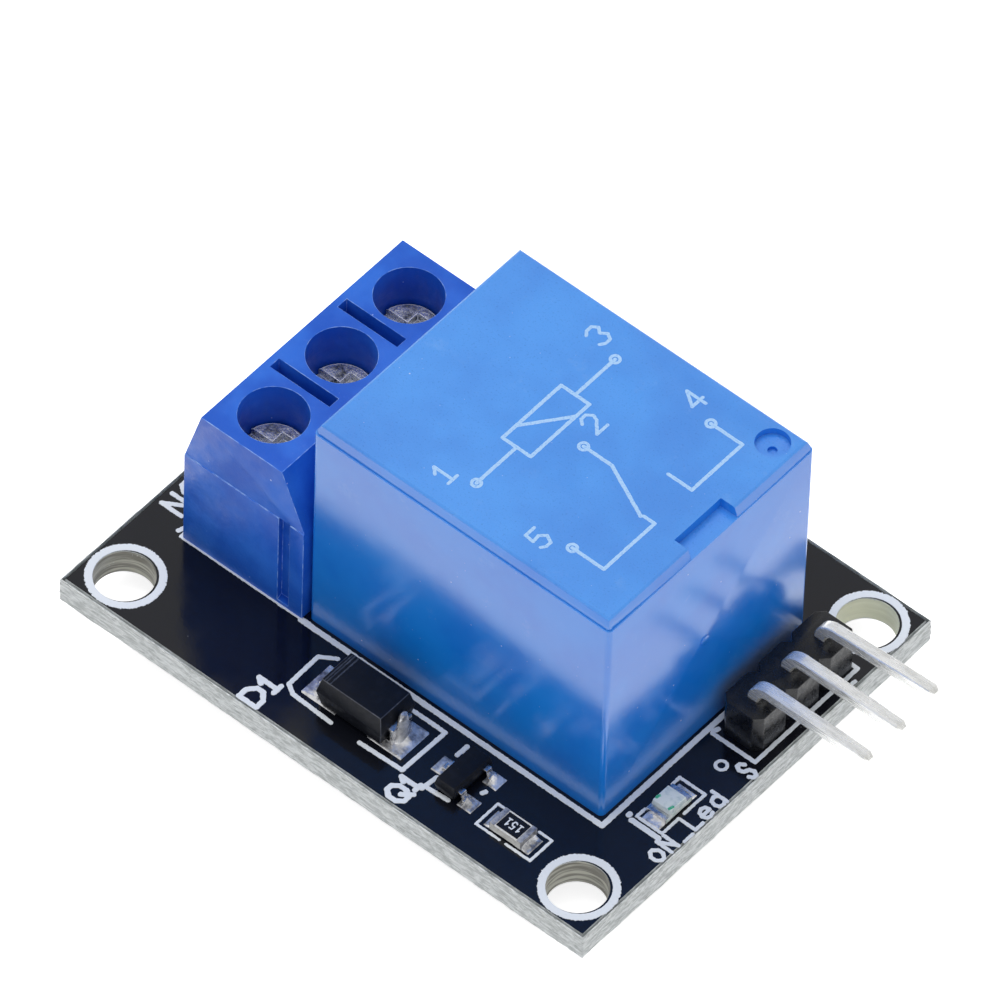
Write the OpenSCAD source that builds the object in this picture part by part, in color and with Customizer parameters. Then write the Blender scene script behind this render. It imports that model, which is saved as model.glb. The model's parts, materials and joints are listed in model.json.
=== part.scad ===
// Single channel relay module: a cube relay, a three way screw terminal
// and a three pin header on one small board, with its driver parts.
// Millimetres. The origin is the middle of the four mounting holes on the
// underside of the board. +X runs from the terminals to the header, +Z up.

/* [Board] */
// Width of the board, across the short side
board_w = 26.4; // [24:0.1:32]
// Thickness of the board
board_t = 1.6; // [1:0.1:2.4]
// How far the scored edges lean in at the top and bottom faces
score_in = 0.16; // [0.05:0.01:0.3]
// Thickness of the web that is snapped when the panel is parted
score_web = 0.5; // [0.3:0.05:0.8]
// Diameter of the mounting holes
hole_d = 3.2; // [2.5:0.1:3.4]
// Distance from the board's edge to the middle of a mounting hole
hole_inset = 2.2; // [2:0.1:2.6]
// Room between a lead and the wall of its hole in the board
lead_room = 0.2; // [0.1:0.05:0.4]
// Length of the leads below the board
lead_tail = 1.2; // [0.8:0.1:2]
// Height of the solder cones below the board
solder_h = 0.8; // [0.4:0.1:0.8]
// Diameter of the solder cones at the board
solder_d = 2; // [1.8:0.1:2.2]

/* [Screw terminal] */
// Distance from one pole to the next
pole_pitch = 5.08; // [5:0.01:5.6]
// Depth of the housing, from wire side to relay side
block_d = 7.75; // [7.7:0.05:9]
// Height of the housing
block_h = 10.1; // [9.9:0.1:12]
// Height at which the housing's front and back start to lean in
block_shoulder = 6.5; // [6:0.1:7]
// How far the front leans in at the top
front_lean = 1; // [0.5:0.05:1.05]
// How far the back leans in at the top
back_lean = 1.52; // [0.8:0.02:1.8]
// Distance from the board's edge to the front of the housing
block_edge = 2.75; // [1:0.05:4]
// Middle of the housing, measured from the middle of the board
block_y = 0.37; // [-1:0.01:1]
// Distance from the front of the housing to the screws
screw_in = 3.55; // [3.5:0.05:3.6]
// Diameter of the wells above the screws
well_d = 3.6; // [3.5:0.05:3.8]
// Width of the slots between the poles
pole_slot_w = 0.68; // [0.4:0.02:0.7]
// Depth of the slots between the poles
pole_slot_h = 3; // [1:0.1:3.3]
// Width of a wire opening
wire_w = 3; // [2.4:0.1:3.2]
// Height of a wire opening
wire_h = 2.9; // [2.5:0.1:2.9]
// How much a wire opening widens towards its mouth, on each side
mouth_lip = 0.4; // [0.2:0.05:0.4]
// Size of the dovetail that joins one housing to the next
tail_w = 0.7; // [0.5:0.05:0.8]
// Depth of the dovetail
tail_h = 0.42; // [0.2:0.02:0.45]

/* [Terminal screws and clamps] */
// Diameter of the screw heads
head_d = 3.5; // [3.3:0.05:3.5]
// Height of the screw heads
head_h = 1; // [0.8:0.1:1]
// Outer diameter of the screw thread
thread_d = 2.4; // [2:0.1:2.5]
// Room round the screw in the clamp's thread
thread_room = 0.05; // [0.02:0.01:0.1]
// Wall of the wire clamps
clamp_wall = 0.6; // [0.4:0.05:0.65]
// Thickness of the threaded top of a clamp
clamp_top = 1; // [0.8:0.1:1.1]
// Length of a clamp along the wire
clamp_l = 4.2; // [3.6:0.1:4.2]
// Height of the room for the wire in an open clamp
wire_room = 2; // [1.6:0.1:2]
// Room between a clamp and the housing
clamp_room = 0.1; // [0.05:0.01:0.12]
// Thickness of the contact bars
bar_t = 0.7; // [0.5:0.05:0.75]
// Width of the contact bars
bar_w = 2.4; // [1.6:0.1:2.4]

/* [Relay case] */
// Length of the relay
relay_l = 18.9; // [18.5:0.1:21]
// Width of the relay
relay_w = 15.43; // [15:0.05:17]
// Wall of the relay's cover
cover_wall = 0.8; // [0.6:0.05:0.9]
// Radius of the cover's upright edges
cover_r = 0.3; // [0.1:0.05:0.5]
// How far the wall of the cover's top step leans in
rim_w = 0.14; // [0.05:0.01:0.4]
// Height of the cover's top step
rim_h = 0.6; // [0.2:0.05:0.7]
// Width of the ledge at the foot of the step
rim_ledge = 0.07; // [0.03:0.01:0.12]
// Length of the notch in the top edge
notch_l = 3.5; // [2:0.1:6]
// How far the notch reaches into the top
notch_in = 1.15; // [0.5:0.05:1.2]
// Depth of the notch
notch_h = 0.6; // [0.3:0.05:0.7]
// Distance from the middle of the relay to the middle of the notch
notch_off = 0.2; // [-1:0.05:1]
// Diameter of the round vent recess
vent_d = 1.8; // [1:0.1:2.2]
// Depth of the vent recess
vent_h = 0.4; // [0.2:0.05:0.5]
// Distance from the relay's header end to the middle of the vent recess
vent_in = 1.5; // [1.4:0.05:1.8]
// Thickness of the relay's base
base_t = 1.6; // [1.2:0.1:2]
// Room between the relay and the terminal housing
relay_gap = 0.2; // [0.1:0.05:1]
// Middle of the relay, measured from the middle of the board
relay_y = 0.76; // [-0.5:0.02:1.5]

/* [Relay works] */
// Diameter of the coil's winding
winding_d = 9; // [8:0.1:10]
// Height of the coil's winding
winding_h = 5; // [4:0.1:6.5]
// Thickness of the bobbin's flanges
flange_t = 0.7; // [0.5:0.05:1]
// Diameter of the iron core
core_d = 3.2; // [2.6:0.1:4]
// Wall of the bobbin's tube
bobbin_wall = 0.55; // [0.4:0.05:0.8]
// Diameter of the pole head on the core
pole_d = 6; // [5:0.1:7]
// Height of the pole head
pole_h = 0.55; // [0.4:0.05:0.8]
// Thickness of the yoke
yoke_t = 1.2; // [0.8:0.05:1.3]
// Width of the yoke and of the armature
yoke_w = 8; // [6:0.1:9]
// Thickness of the armature
armature_t = 1.2; // [0.8:0.05:1.4]
// Gap between the armature and the pole head at rest
pole_gap = 0.25; // [0.24:0.01:0.4]
// Thickness of the leaf spring
leaf_t = 0.2; // [0.1:0.02:0.25]
// Width of the leaf spring
leaf_w = 3.6; // [2.6:0.1:5]
// Diameter of the contact rivets
contact_d = 2.4; // [1.8:0.1:2.8]
// Height of a contact rivet's head
contact_h = 0.35; // [0.2:0.05:0.5]
// Gap between the open contacts
contact_gap = 0.42; // [0.4:0.01:0.6]
// Thickness of the fixed contact strips
strip_t = 0.4; // [0.3:0.05:0.5]
// Distance between the two rows of relay leads
relay_pin_span = 12; // [11.6:0.1:12.4]
// Distance from the middle lead to the coil leads
coil_pin_step = 2; // [1.8:0.1:2.2]
// Width of the relay's leads
relay_pin_w = 1; // [0.6:0.1:1.2]

/* [Header] */
// Distance from one pin to the next
pin_pitch = 2.54; // [2.5:0.01:2.7]
// Size of the square pins
pin_s = 0.64; // [0.5:0.02:0.7]
// Width of the header's body
header_w = 2.5; // [2.2:0.05:2.8]
// Height of the header's body
header_h = 2.5; // [2:0.05:3]
// Size of the cut corners between the header's cells
header_cut = 0.42; // [0.2:0.05:0.7]
// Distance from the board's edge to the header's body
header_edge = 0.9; // [0.4:0.05:1.2]
// Room between the header's body and the relay
header_gap = 0.7; // [0.5:0.05:1.5]
// Middle of the header, measured from the middle of the board
header_y = 4.86; // [4:0.02:5]
// Inner radius of the bend in the pins
pin_bend_r = 0.6; // [0.2:0.05:0.8]
// Distance from the board's edge to the pins' tips
pin_reach = 5.12; // [3:0.1:9]

/* [Surface parts] */
// Distance from the row of diode and transistor to the board's edge
row_in = 3.57; // [3.4:0.01:4]
// Length of the diode's body
diode_l = 4.2; // [3.8:0.05:4.6]
// Width of the diode's body
diode_w = 2.6; // [2.4:0.05:2.9]
// Height of the diode's body
diode_h = 2.1; // [1.9:0.05:2.3]
// Length of the transistor's body
transistor_l = 2.9; // [2.7:0.05:3]
// Width of the transistor's body
transistor_w = 1.3; // [1.2:0.05:1.4]
// Height of the transistor's body
transistor_h = 1; // [0.9:0.05:1.1]
// Length of the resistor
chip_l = 2; // [1.8:0.05:2.1]
// Width of the resistor
chip_w = 1.25; // [1.1:0.05:1.3]
// Height of the resistor
chip_h = 0.5; // [0.4:0.05:0.6]
// Length of the lamp
led_l = 2; // [1.8:0.05:2.1]
// Width of the lamp
led_w = 1.25; // [1.1:0.05:1.3]
// Thickness of the lamp's base
led_base_t = 0.3; // [0.2:0.05:0.4]
// Height of the lamp's lens
led_lens_h = 0.35; // [0.25:0.05:0.5]

/* [Hidden] */
$fn = 48;

// A hair of extra length where one cut has to pass through a face
eps = 0.5;
poles = 3;
header_pins = 3;

// Board
board_l = block_edge + block_d + relay_gap + relay_l + header_gap + header_w + header_edge;
hole_x = board_l / 2 - hole_inset;
hole_y = board_w / 2 - hole_inset;

// Screw terminal: x of its front and back, and the heights above the board
block_x0 = -board_l / 2 + block_edge;
block_x1 = block_x0 + block_d;
block_l = poles * pole_pitch;
screw_x = block_x0 + screw_in;
function pole_y(i) = block_y + (i - (poles - 1) / 2) * pole_pitch;
clamp_floor = 0.25;
bar_z = clamp_floor + clamp_wall + wire_room;
screw_tip_gap = 0.1;
head_bevel = 0.15;
slot_w = 0.62;
slot_h = 0.5;
cross_l = 2.2;
tooth_s = 0.3;
clamp_top_z = bar_z + bar_t + 0.15;
clamp_side = 0.54;
clamp_w = pole_pitch - 2 * clamp_side;
clamp_travel = 1.7;
head_z = clamp_top_z + clamp_top + clamp_travel + 0.1;
chamber_h = head_z + 0.1;
leg_t = 0.7;
leg_w = 1.1;
back_wall = 0.75;
leg_x = block_x1 - back_wall - leg_t / 2;
wire_z = clamp_floor + 0.45;
mouth_l = 0.6;
end_step = 0.05;
tail_in = 1.25;
tail_x = block_x1 - tail_in;
tail_z = 0.25;
tail_flare = 0.08;
tail_room = 0.03;
pole_slot_in = 1.4;
pole_slot_l = 3.85;

// Relay: its own frame has its middle at the origin and z = 0 on the board
relay_x = block_x1 + relay_gap + relay_l / 2;
base_z = 0.2;
floor_z = base_z + base_t;
leaf_room = 0.05;
coil_room = 0.2;
com_in = 0.1;
contact_in = 1.55;
back_room = 0.2;
yoke_x1 = relay_l / 2 - cover_wall - back_room - leaf_t - leaf_room;
yoke_x0 = yoke_x1 - yoke_t;
flange_lip = 0.3;
flange_l = winding_d + 2 * flange_lip;
flange_w = 10.4;
coil_x = yoke_x0 - coil_room - flange_l / 2;
bobbin_z = floor_z + yoke_t;
bobbin_h = winding_h + 2 * flange_t;
bobbin_d = core_d + 2 * bobbin_wall;
pole_z = bobbin_z + bobbin_h;
hinge_z = pole_z + pole_h + pole_gap;
leaf_z = hinge_z + armature_t;
contact_x = -relay_l / 2 + cover_wall + contact_in;
touch_gap = 0.05;
closed_z = leaf_z + leaf_t + contact_h + touch_gap + contact_h;
open_z = leaf_z - contact_h - contact_gap - contact_h - strip_t;
headroom = 1.35;
relay_h = closed_z + strip_t + headroom + cover_wall;
com_x = yoke_x0 + com_in;
coil_pin_x = com_x - coil_pin_step;
pin_y = relay_pin_span / 2;
vent_side = 1.43;
dimple_d = 0.5;
dimple_h = 0.2;
dimple_off = [0.1, -0.13];
rim_ease = [0.16, 0.2];
gate_z = 6.9;
gate_off = -0.25;
gate_d = 0.6;
gate_h = 0.06;
cover_room = 0.05;
post_l = 2.8;
post_w = 1.2;
post_drop = 1.5;
// The divider stands midway between the posts and the coil's flange
divider_x = (contact_x + post_l / 2 + coil_x - flange_l / 2) / 2;
divider_t = 0.6;
com_plate_l = 1.6;
com_plate_w = 3;
arm_w = 2.4;
rivet_d = contact_d / 2;
core_neck_d = core_d - 0.8;
armature_tip = 0.8;
armature_cut = 2;
leaf_tail = 4.5;
leaf_tip = 0.3;
yoke_bevel = 0.5;
yoke_foot = 1.2;
flange_r = 0.6;
lug_l = 1.6;
lug_w = 0.6;
coil_pin_rise = 1.2;
pin_t = 0.5;

// Header
header_x = board_l / 2 - header_edge - header_w / 2;
header_l = header_pins * pin_pitch;
pin_tip_x = board_l / 2 + pin_reach;
function pin_row_y(i) = header_y + (i - (header_pins - 1) / 2) * pin_pitch;
// The last pin is bent up a little
pin_lift = [0, 0, 3.5];

// Surface parts: the middles of the diode, transistor, resistor and lamp
diode_back = 3.47;
diode_step = 6.32;
transistor_gap = 3.97;
chip_in = 2.68;
led_in = 2.08;
row_y = -board_w / 2 + row_in;
diode_x = relay_x - diode_back;
transistor_x = diode_x + diode_step;
chip_x = transistor_x + transistor_gap;
chip_y = -board_w / 2 + chip_in;
led_x = board_l / 2 - led_in;
led_y = -4.25;
pad_t = 0.06;
// The part's own moulding draft, from its waist to its top and foot
diode_draft = 0.2;
diode_lift = 0.12;
diode_mid = 0.55 * diode_h;
diode_waist = 0.05;
diode_lead_w = 1.5;
diode_lead_t = 0.2;
diode_lead_in = 0.3;
diode_lead_out = 0.28;
diode_fold = 1;
diode_pad_out = 1.14;
diode_pad_l = diode_l + 2 * diode_pad_out;
diode_pad_w = 2.25;
transistor_draft = 0.1;
transistor_mid = 0.5 * transistor_h;
transistor_waist = 0.04;
transistor_lift = 0.1;
transistor_step = 1.9;
leg_w_small = 0.42;
leg_t_small = 0.13;
leg_in = 0.2;
leg_knee = 0.12;
leg_ankle = 0.24;
leg_toe = 0.55;
// Side and y of each leg: one alone towards the diode, two the other way
transistor_legs = [[-1, 0], [1, -transistor_step / 2], [1, transistor_step / 2]];
cap_l = 0.38;
cap_t = 0.04;
cap_lip = 0.1;
film_t = 0.03;
led_contact_l = 0.35;
led_contact_t = 0.04;
led_chip_s = 0.32;
led_chip_h = 0.15;
led_lens_l = led_l - 0.7;
lens_draft = 0.06;
pad_in = 0.1;
leg_pad_l = 0.9;
leg_pad_w = [1.1, 0.9];
chip_pad_l = 0.92;
led_pad_l = 0.9;
pad_margin = 0.1;

// ---------------------------------------------------------------- shapes

module plate(l, w, h) {
  translate([-l / 2, -w / 2, 0]) cube([l, w, h]);
}

// A plate with rounded upright edges
module round_plate(l, w, h, r) {
  linear_extrude(h) rounded_rectangle(l, w, r);
}

module rounded_rectangle(l, w, r) {
  square([l - 2 * r, w], center = true);
  square([l, w - 2 * r], center = true);
  for (sx = [-1, 1], sy = [-1, 1])
    translate([sx * (l / 2 - r), sy * (w / 2 - r)]) circle(r);
}

// A block whose four sides follow one edge profile. The profile is a list of
// [height, how far in from the outer size], from the bottom to the top.
module profiled_block(l, w, profile) {
  intersection() {
    rotate([90, 0, 0]) linear_extrude(w + 2 * eps, center = true) edge_section(l, profile);
    rotate([90, 0, 90]) linear_extrude(l + 2 * eps, center = true) edge_section(w, profile);
  }
}

module edge_section(width, profile) {
  last = len(profile) - 1;
  polygon(concat(
    [for (p = profile) [width / 2 - p[1], p[0]]],
    [for (i = [last : -1 : 0]) [-width / 2 + profile[i][1], profile[i][0]]]));
}

// A side outline in x and z, given the width w that it has along y
module side_extrude(w) {
  rotate([90, 0, 0]) linear_extrude(w, center = true) children();
}

// A sector of a ring in the plane, from the -X side round towards +Y
module ring_sector(r_in, r_out, angle) {
  reach = 2 * r_out;
  intersection() {
    difference() {
      circle(r_out);
      circle(r_in);
    }
    polygon([[0, 0], for (a = [180, 180 - angle / 2, 180 - angle]) reach * [cos(a), sin(a)]]);
  }
}

// ----------------------------------------------------------------- board

module circuit_board() {
  web0 = (board_t - score_web) / 2;
  web1 = (board_t + score_web) / 2;
  color([0.05, 0.06, 0.08]) difference() {
    profiled_block(board_l, board_w,
      [[0, score_in], [web0, 0], [web1, 0], [board_t, score_in]]);
    for (sx = [-1, 1], sy = [-1, 1])
      translate([sx * hole_x, sy * hole_y, -eps]) cylinder(d = hole_d, h = board_t + 2 * eps);
    for (i = [0 : poles - 1])
      lead_hole(leg_x, pole_y(i), leg_t, leg_w);
    for (i = [0 : header_pins - 1])
      lead_hole(header_x, pin_row_y(i), pin_s, pin_s);
    for (p = relay_leads())
      lead_hole(relay_x + p[0], relay_y + p[1], p[2], p[3]);
  }
}

// A round hole that clears a lead of size a by b
module lead_hole(x, y, a, b) {
  translate([x, y, -eps])
    cylinder(d = norm([a, b]) + lead_room, h = board_t + 2 * eps);
}

// Place and section of each relay lead: x, y, size along x, size along y
function relay_leads() = [
  [com_x, 0, pin_t, relay_pin_w],
  [coil_pin_x, -pin_y, pin_t, pin_t],
  [coil_pin_x, pin_y, pin_t, pin_t],
  [contact_x, -pin_y, relay_pin_w, strip_t],
  [contact_x, pin_y, relay_pin_w, strip_t]
];

// ---------------------------------------------------------- screw terminal

module on_board() { translate([0, 0, board_t]) children(); }

module terminal_housing() {
  step_y = block_l / 2 - end_step;
  color([0.12, 0.25, 0.70]) on_board() difference() {
    translate([0, block_y, 0]) {
      side_extrude(block_l) block_outline();
      // The rail that slides into the next housing's groove
      translate([tail_x, block_l / 2, 0]) dovetail(tail_room);
    }
    // Both ends step in a little above the shoulder
    translate([0, block_y, block_shoulder]) for (s = [0, 1]) mirror([0, s, 0])
      translate([block_x0 - eps, step_y, 0]) cube([block_d + 2 * eps, 2 * eps, block_h]);
    translate([tail_x, block_y - block_l / 2, 0]) dovetail(0);
    for (i = [0 : poles - 1]) translate([0, pole_y(i), 0]) pole_cavity();
    for (i = [1 : poles - 1])
      translate([block_x0 + pole_slot_in, pole_y(i) - (pole_pitch + pole_slot_w) / 2,
          block_h - pole_slot_h])
        cube([pole_slot_l, pole_slot_w, pole_slot_h + eps]);
  }
}

// The housing's outline from the side, leaning in above its shoulder
module block_outline() {
  polygon([
    [block_x0, 0], [block_x1, 0], [block_x1, block_shoulder],
    [block_x1 - back_lean, block_h], [block_x0 + front_lean, block_h],
    [block_x0, block_shoulder]
  ]);
}

// A dovetail along z, wider away from its foot. A rail has room all round, and
// a groove has none and reaches past the face that it is cut into.
module dovetail(room) {
  w = tail_w / 2 - room;
  foot = room > 0 ? 0 : -eps;
  translate([0, 0, tail_z]) linear_extrude(block_shoulder - tail_z)
    polygon([
      [-w, foot], [w, foot], [w, 0], [w + tail_flare, tail_h - room],
      [-w - tail_flare, tail_h - room], [-w, 0]
    ]);
}

// The hollow of one pole, with its middle on y = 0
module pole_cavity() {
  leg_x1 = leg_x + leg_t / 2;
  translate([screw_x, 0, head_z]) cylinder(d = well_d, h = block_h);
  translate([screw_x, 0, -eps])
    plate(clamp_l + 2 * clamp_room, clamp_w + 2 * clamp_room, chamber_h + eps);
  // A channel for the contact's leg behind the clamp, and a seat for its bar
  translate([screw_x, -leg_w / 2, -eps])
    cube([leg_x1 - screw_x, leg_w, bar_z + bar_t + eps]);
  translate([screw_x, -bar_w / 2, bar_z]) cube([leg_x1 - screw_x, bar_w, bar_t]);
  // Wire opening, wider at its mouth
  translate([block_x0, 0, wire_z + wire_h / 2]) rotate([0, 90, 0]) {
    plate(wire_h, wire_w, screw_in);
    profiled_block(wire_h + 2 * mouth_lip, wire_w + 2 * mouth_lip,
      [[-eps, 0], [0, 0], [mouth_l, mouth_lip]]);
  }
}

module terminal_screw(i) {
  shank_z = bar_z + bar_t + screw_tip_gap;
  color([0.75, 0.75, 0.73]) on_board() translate([screw_x, pole_y(i), 0]) difference() {
    union() {
      translate([0, 0, head_z]) cylinder(d = head_d, h = head_h - head_bevel);
      translate([0, 0, head_z + head_h - head_bevel])
        cylinder(d1 = head_d, d2 = head_d - 2 * head_bevel, h = head_bevel);
      translate([0, 0, shank_z]) cylinder(d = thread_d, h = head_z - shank_z + head_h / 2);
    }
    // One slot right across, and a short one across it
    translate([0, 0, head_z + head_h - slot_h]) {
      plate(head_d + eps, slot_w, head_h);
      plate(slot_w, cross_l, head_h);
    }
  }
}

module wire_clamp(i) {
  h = clamp_top_z + clamp_top - clamp_floor;
  color([0.80, 0.78, 0.70]) on_board() translate([screw_x, pole_y(i), clamp_floor]) difference() {
    plate(clamp_l, clamp_w, h);
    translate([0, 0, clamp_wall])
      plate(clamp_l + 2 * eps, clamp_w - 2 * clamp_wall, h - clamp_wall - clamp_top);
    translate([0, 0, h - clamp_top - eps])
      cylinder(d = thread_d + 2 * thread_room, h = clamp_top + 2 * eps);
    // Teeth across the floor grip the wire
    for (k = [-1, 0, 1])
      translate([k * clamp_l / 4, 0, clamp_wall]) rotate([90, 0, 0])
        cylinder(d = tooth_s, h = clamp_w - 2 * clamp_wall, center = true, $fn = 4);
  }
}

module terminal_contact(i) {
  bar_x0 = screw_x - clamp_l / 2;
  bar_x1 = leg_x + leg_t / 2;
  color([0.80, 0.79, 0.76]) translate([0, pole_y(i), 0]) {
    translate([bar_x0, -bar_w / 2, board_t + bar_z]) cube([bar_x1 - bar_x0, bar_w, bar_t]);
    translate([leg_x, 0, -lead_tail]) plate(leg_t, leg_w, lead_tail + board_t + bar_z + bar_t / 2);
  }
}

// ------------------------------------------------------------------- relay

module in_relay() { translate([relay_x, relay_y, board_t]) children(); }

module relay_cover() {
  ledge_z = relay_h - rim_h;
  inner_l = relay_l - 2 * cover_wall;
  inner_w = relay_w - 2 * cover_wall;
  rim_l = relay_l - 2 * rim_ledge;
  rim_b = relay_w - 2 * rim_ledge;
  color([0.22, 0.50, 0.85]) in_relay() difference() {
    union() {
      round_plate(relay_l, relay_w, ledge_z, cover_r);
      // The moulding gate's stub on the header side
      translate([relay_l / 2, gate_off, gate_z]) rotate([0, 90, 0]) cylinder(d = gate_d, h = gate_h);
      intersection() {
        round_plate(rim_l, rim_b, relay_h, cover_r);
        profiled_block(rim_l, rim_b, [
          [0, 0], [ledge_z, 0], [relay_h - rim_ease[1], rim_w],
          [relay_h - rim_ease[1] * 0.3, rim_w + rim_ease[0] * 0.3], [relay_h, rim_w + rim_ease[0]]
        ]);
      }
    }
    translate([0, 0, -eps]) plate(inner_l, inner_w, relay_h - cover_wall + eps);
    // Notch in the middle of the header side's top edge
    translate([relay_l / 2 - notch_in, notch_off - notch_l / 2, relay_h - notch_h])
      cube([notch_in + eps, notch_l, notch_h + eps]);
    // Vent recess in a corner, with a small dimple in its floor
    translate([relay_l / 2 - vent_in, relay_w / 2 - vent_side, relay_h - vent_h]) {
      cylinder(d = vent_d, h = vent_h + eps);
      translate([dimple_off[0], dimple_off[1], -dimple_h])
        cylinder(d = dimple_d, h = dimple_h + eps);
    }
  }
}

module relay_base() {
  l = relay_l - 2 * (cover_wall + cover_room);
  w = relay_w - 2 * (cover_wall + cover_room);
  post_h = open_z - floor_z - post_drop;
  color([0.16, 0.38, 0.70]) in_relay() difference() {
    union() {
      translate([0, 0, base_z]) plate(l, w, base_t);
      translate([0, 0, base_z]) {
        // Two posts hold the strips of the fixed contacts
        for (s = [-1, 1]) translate([contact_x, s * pin_y, 0]) plate(post_l, post_w, base_t + post_h);
        // A wall keeps the coil and the contacts apart
        translate([divider_x, 0, 0]) plate(divider_t, pin_y * 2 - post_w, base_t + post_h);
      }
    }
    for (s = [-1, 1]) {
      translate([contact_x, s * pin_y, -eps]) plate(arm_w, strip_t, relay_h);
      translate([coil_pin_x, s * pin_y, -eps]) plate(pin_t, pin_t, relay_h);
    }
    translate([com_x, 0, -eps]) plate(pin_t, relay_pin_w, relay_h);
    translate([com_x, 0, floor_z - strip_t]) plate(com_plate_l, com_plate_w, strip_t + eps);
  }
}

module coil_bobbin() {
  color([0.92, 0.90, 0.85]) in_relay() difference() {
    union() {
      for (z = [bobbin_z, pole_z - flange_t])
        translate([coil_x, 0, z]) round_plate(flange_l, flange_w, flange_t, flange_r);
      translate([coil_x, 0, bobbin_z]) cylinder(d = bobbin_d, h = bobbin_h);
      // Lugs at the foot hold the two coil pins
      translate([coil_pin_x, 0, bobbin_z]) plate(lug_l, relay_pin_span + 2 * lug_w, flange_t);
    }
    translate([coil_x, 0, bobbin_z - eps]) cylinder(d = core_d, h = bobbin_h + 2 * eps);
    for (s = [-1, 1])
      translate([coil_pin_x, s * pin_y, 0]) plate(pin_t, pin_t, relay_h);
  }
}

module coil_winding() {
  color([0.72, 0.36, 0.18]) in_relay() translate([coil_x, 0, bobbin_z + flange_t]) difference() {
    cylinder(d = winding_d, h = winding_h);
    translate([0, 0, -eps]) cylinder(d = bobbin_d, h = winding_h + 2 * eps);
  }
}

module magnet_core() {
  color([0.62, 0.62, 0.62]) in_relay() translate([coil_x, 0, 0]) {
    translate([0, 0, floor_z]) cylinder(d = core_neck_d, h = yoke_t + bobbin_h / 2);
    translate([0, 0, bobbin_z]) cylinder(d = core_d, h = bobbin_h + pole_h / 2);
    translate([0, 0, pole_z]) cylinder(d = pole_d, h = pole_h);
  }
}

module magnet_yoke() {
  foot_x0 = coil_x - core_d / 2 - yoke_foot;
  color([0.66, 0.66, 0.66]) in_relay() difference() {
    side_extrude(yoke_w) polygon([
      [foot_x0, floor_z], [yoke_x1 - yoke_bevel, floor_z], [yoke_x1, floor_z + yoke_bevel],
      [yoke_x1, hinge_z], [yoke_x0, hinge_z], [yoke_x0, bobbin_z], [foot_x0, bobbin_z]
    ]);
    translate([coil_x, 0, floor_z - eps]) cylinder(d = core_neck_d, h = yoke_t + 2 * eps);
  }
}

module armature() {
  tip_x = coil_x - pole_d / 2 - armature_tip;
  half_w = yoke_w / 2;
  color([0.64, 0.64, 0.64]) in_relay() translate([0, 0, hinge_z])
    linear_extrude(armature_t) polygon([
      [tip_x, armature_cut - half_w], [tip_x + armature_cut, -half_w], [yoke_x1, -half_w],
      [yoke_x1, half_w], [tip_x + armature_cut, half_w], [tip_x, half_w - armature_cut]
    ]);
}

// One strip: a tongue over the armature and a tail down the yoke's back
module leaf_spring() {
  back = yoke_x1 + leaf_room + leaf_t;
  color([0.80, 0.62, 0.35]) in_relay() difference() {
    union() {
      translate([contact_x - contact_d / 2 - leaf_tip, -leaf_w / 2, leaf_z])
        cube([back - contact_x + contact_d / 2 + leaf_tip, leaf_w, leaf_t]);
      translate([back - leaf_t, -leaf_w / 2, leaf_z - leaf_tail])
        cube([leaf_t, leaf_w, leaf_tail + leaf_t]);
    }
    translate([contact_x, 0, leaf_z - eps]) cylinder(d = rivet_d, h = leaf_t + 2 * eps);
  }
}

module moving_contact() {
  color([0.85, 0.85, 0.83]) in_relay() translate([contact_x, 0, leaf_z]) {
    translate([0, 0, -contact_h]) cylinder(d = contact_d, h = contact_h);
    translate([0, 0, leaf_t]) cylinder(d = contact_d, h = contact_h);
    cylinder(d = rivet_d, h = leaf_t);
  }
}

// A fixed contact: a lead that rises at side s, an arm at height z that
// reaches the middle, and a rivet through the arm from height rivet_z
module fixed_contact(s, z, rivet_z, rivet_h) {
  reach = pin_y + strip_t / 2 + contact_d / 2;
  color([0.78, 0.60, 0.32]) in_relay() translate([contact_x, 0, 0]) {
    translate([0, s * pin_y, -board_t - lead_tail])
      plate(relay_pin_w, strip_t, board_t + lead_tail + floor_z);
    translate([0, s * pin_y, base_z]) plate(arm_w, strip_t, z - base_z + strip_t);
    translate([-arm_w / 2, s > 0 ? -contact_d / 2 : -pin_y - strip_t / 2, z])
      cube([arm_w, reach, strip_t]);
    translate([0, 0, rivet_z]) cylinder(d = contact_d, h = rivet_h);
  }
}

module closed_contact() { fixed_contact(1, closed_z, closed_z - contact_h, contact_h + strip_t); }

module open_contact() { fixed_contact(-1, open_z, open_z, strip_t + contact_h); }

module common_terminal() {
  color([0.78, 0.76, 0.72]) in_relay() translate([com_x, 0, 0]) {
    translate([0, 0, -board_t - lead_tail])
      plate(pin_t, relay_pin_w, board_t + lead_tail + floor_z);
    translate([0, 0, floor_z - strip_t]) plate(com_plate_l, com_plate_w, strip_t);
  }
}

module coil_pin(s) {
  color([0.78, 0.76, 0.72]) in_relay()
    translate([coil_pin_x, s * pin_y, -board_t - lead_tail])
      plate(pin_t, pin_t, board_t + lead_tail + bobbin_z + flange_t + coil_pin_rise);
}

// ------------------------------------------------------------------ header

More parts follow.
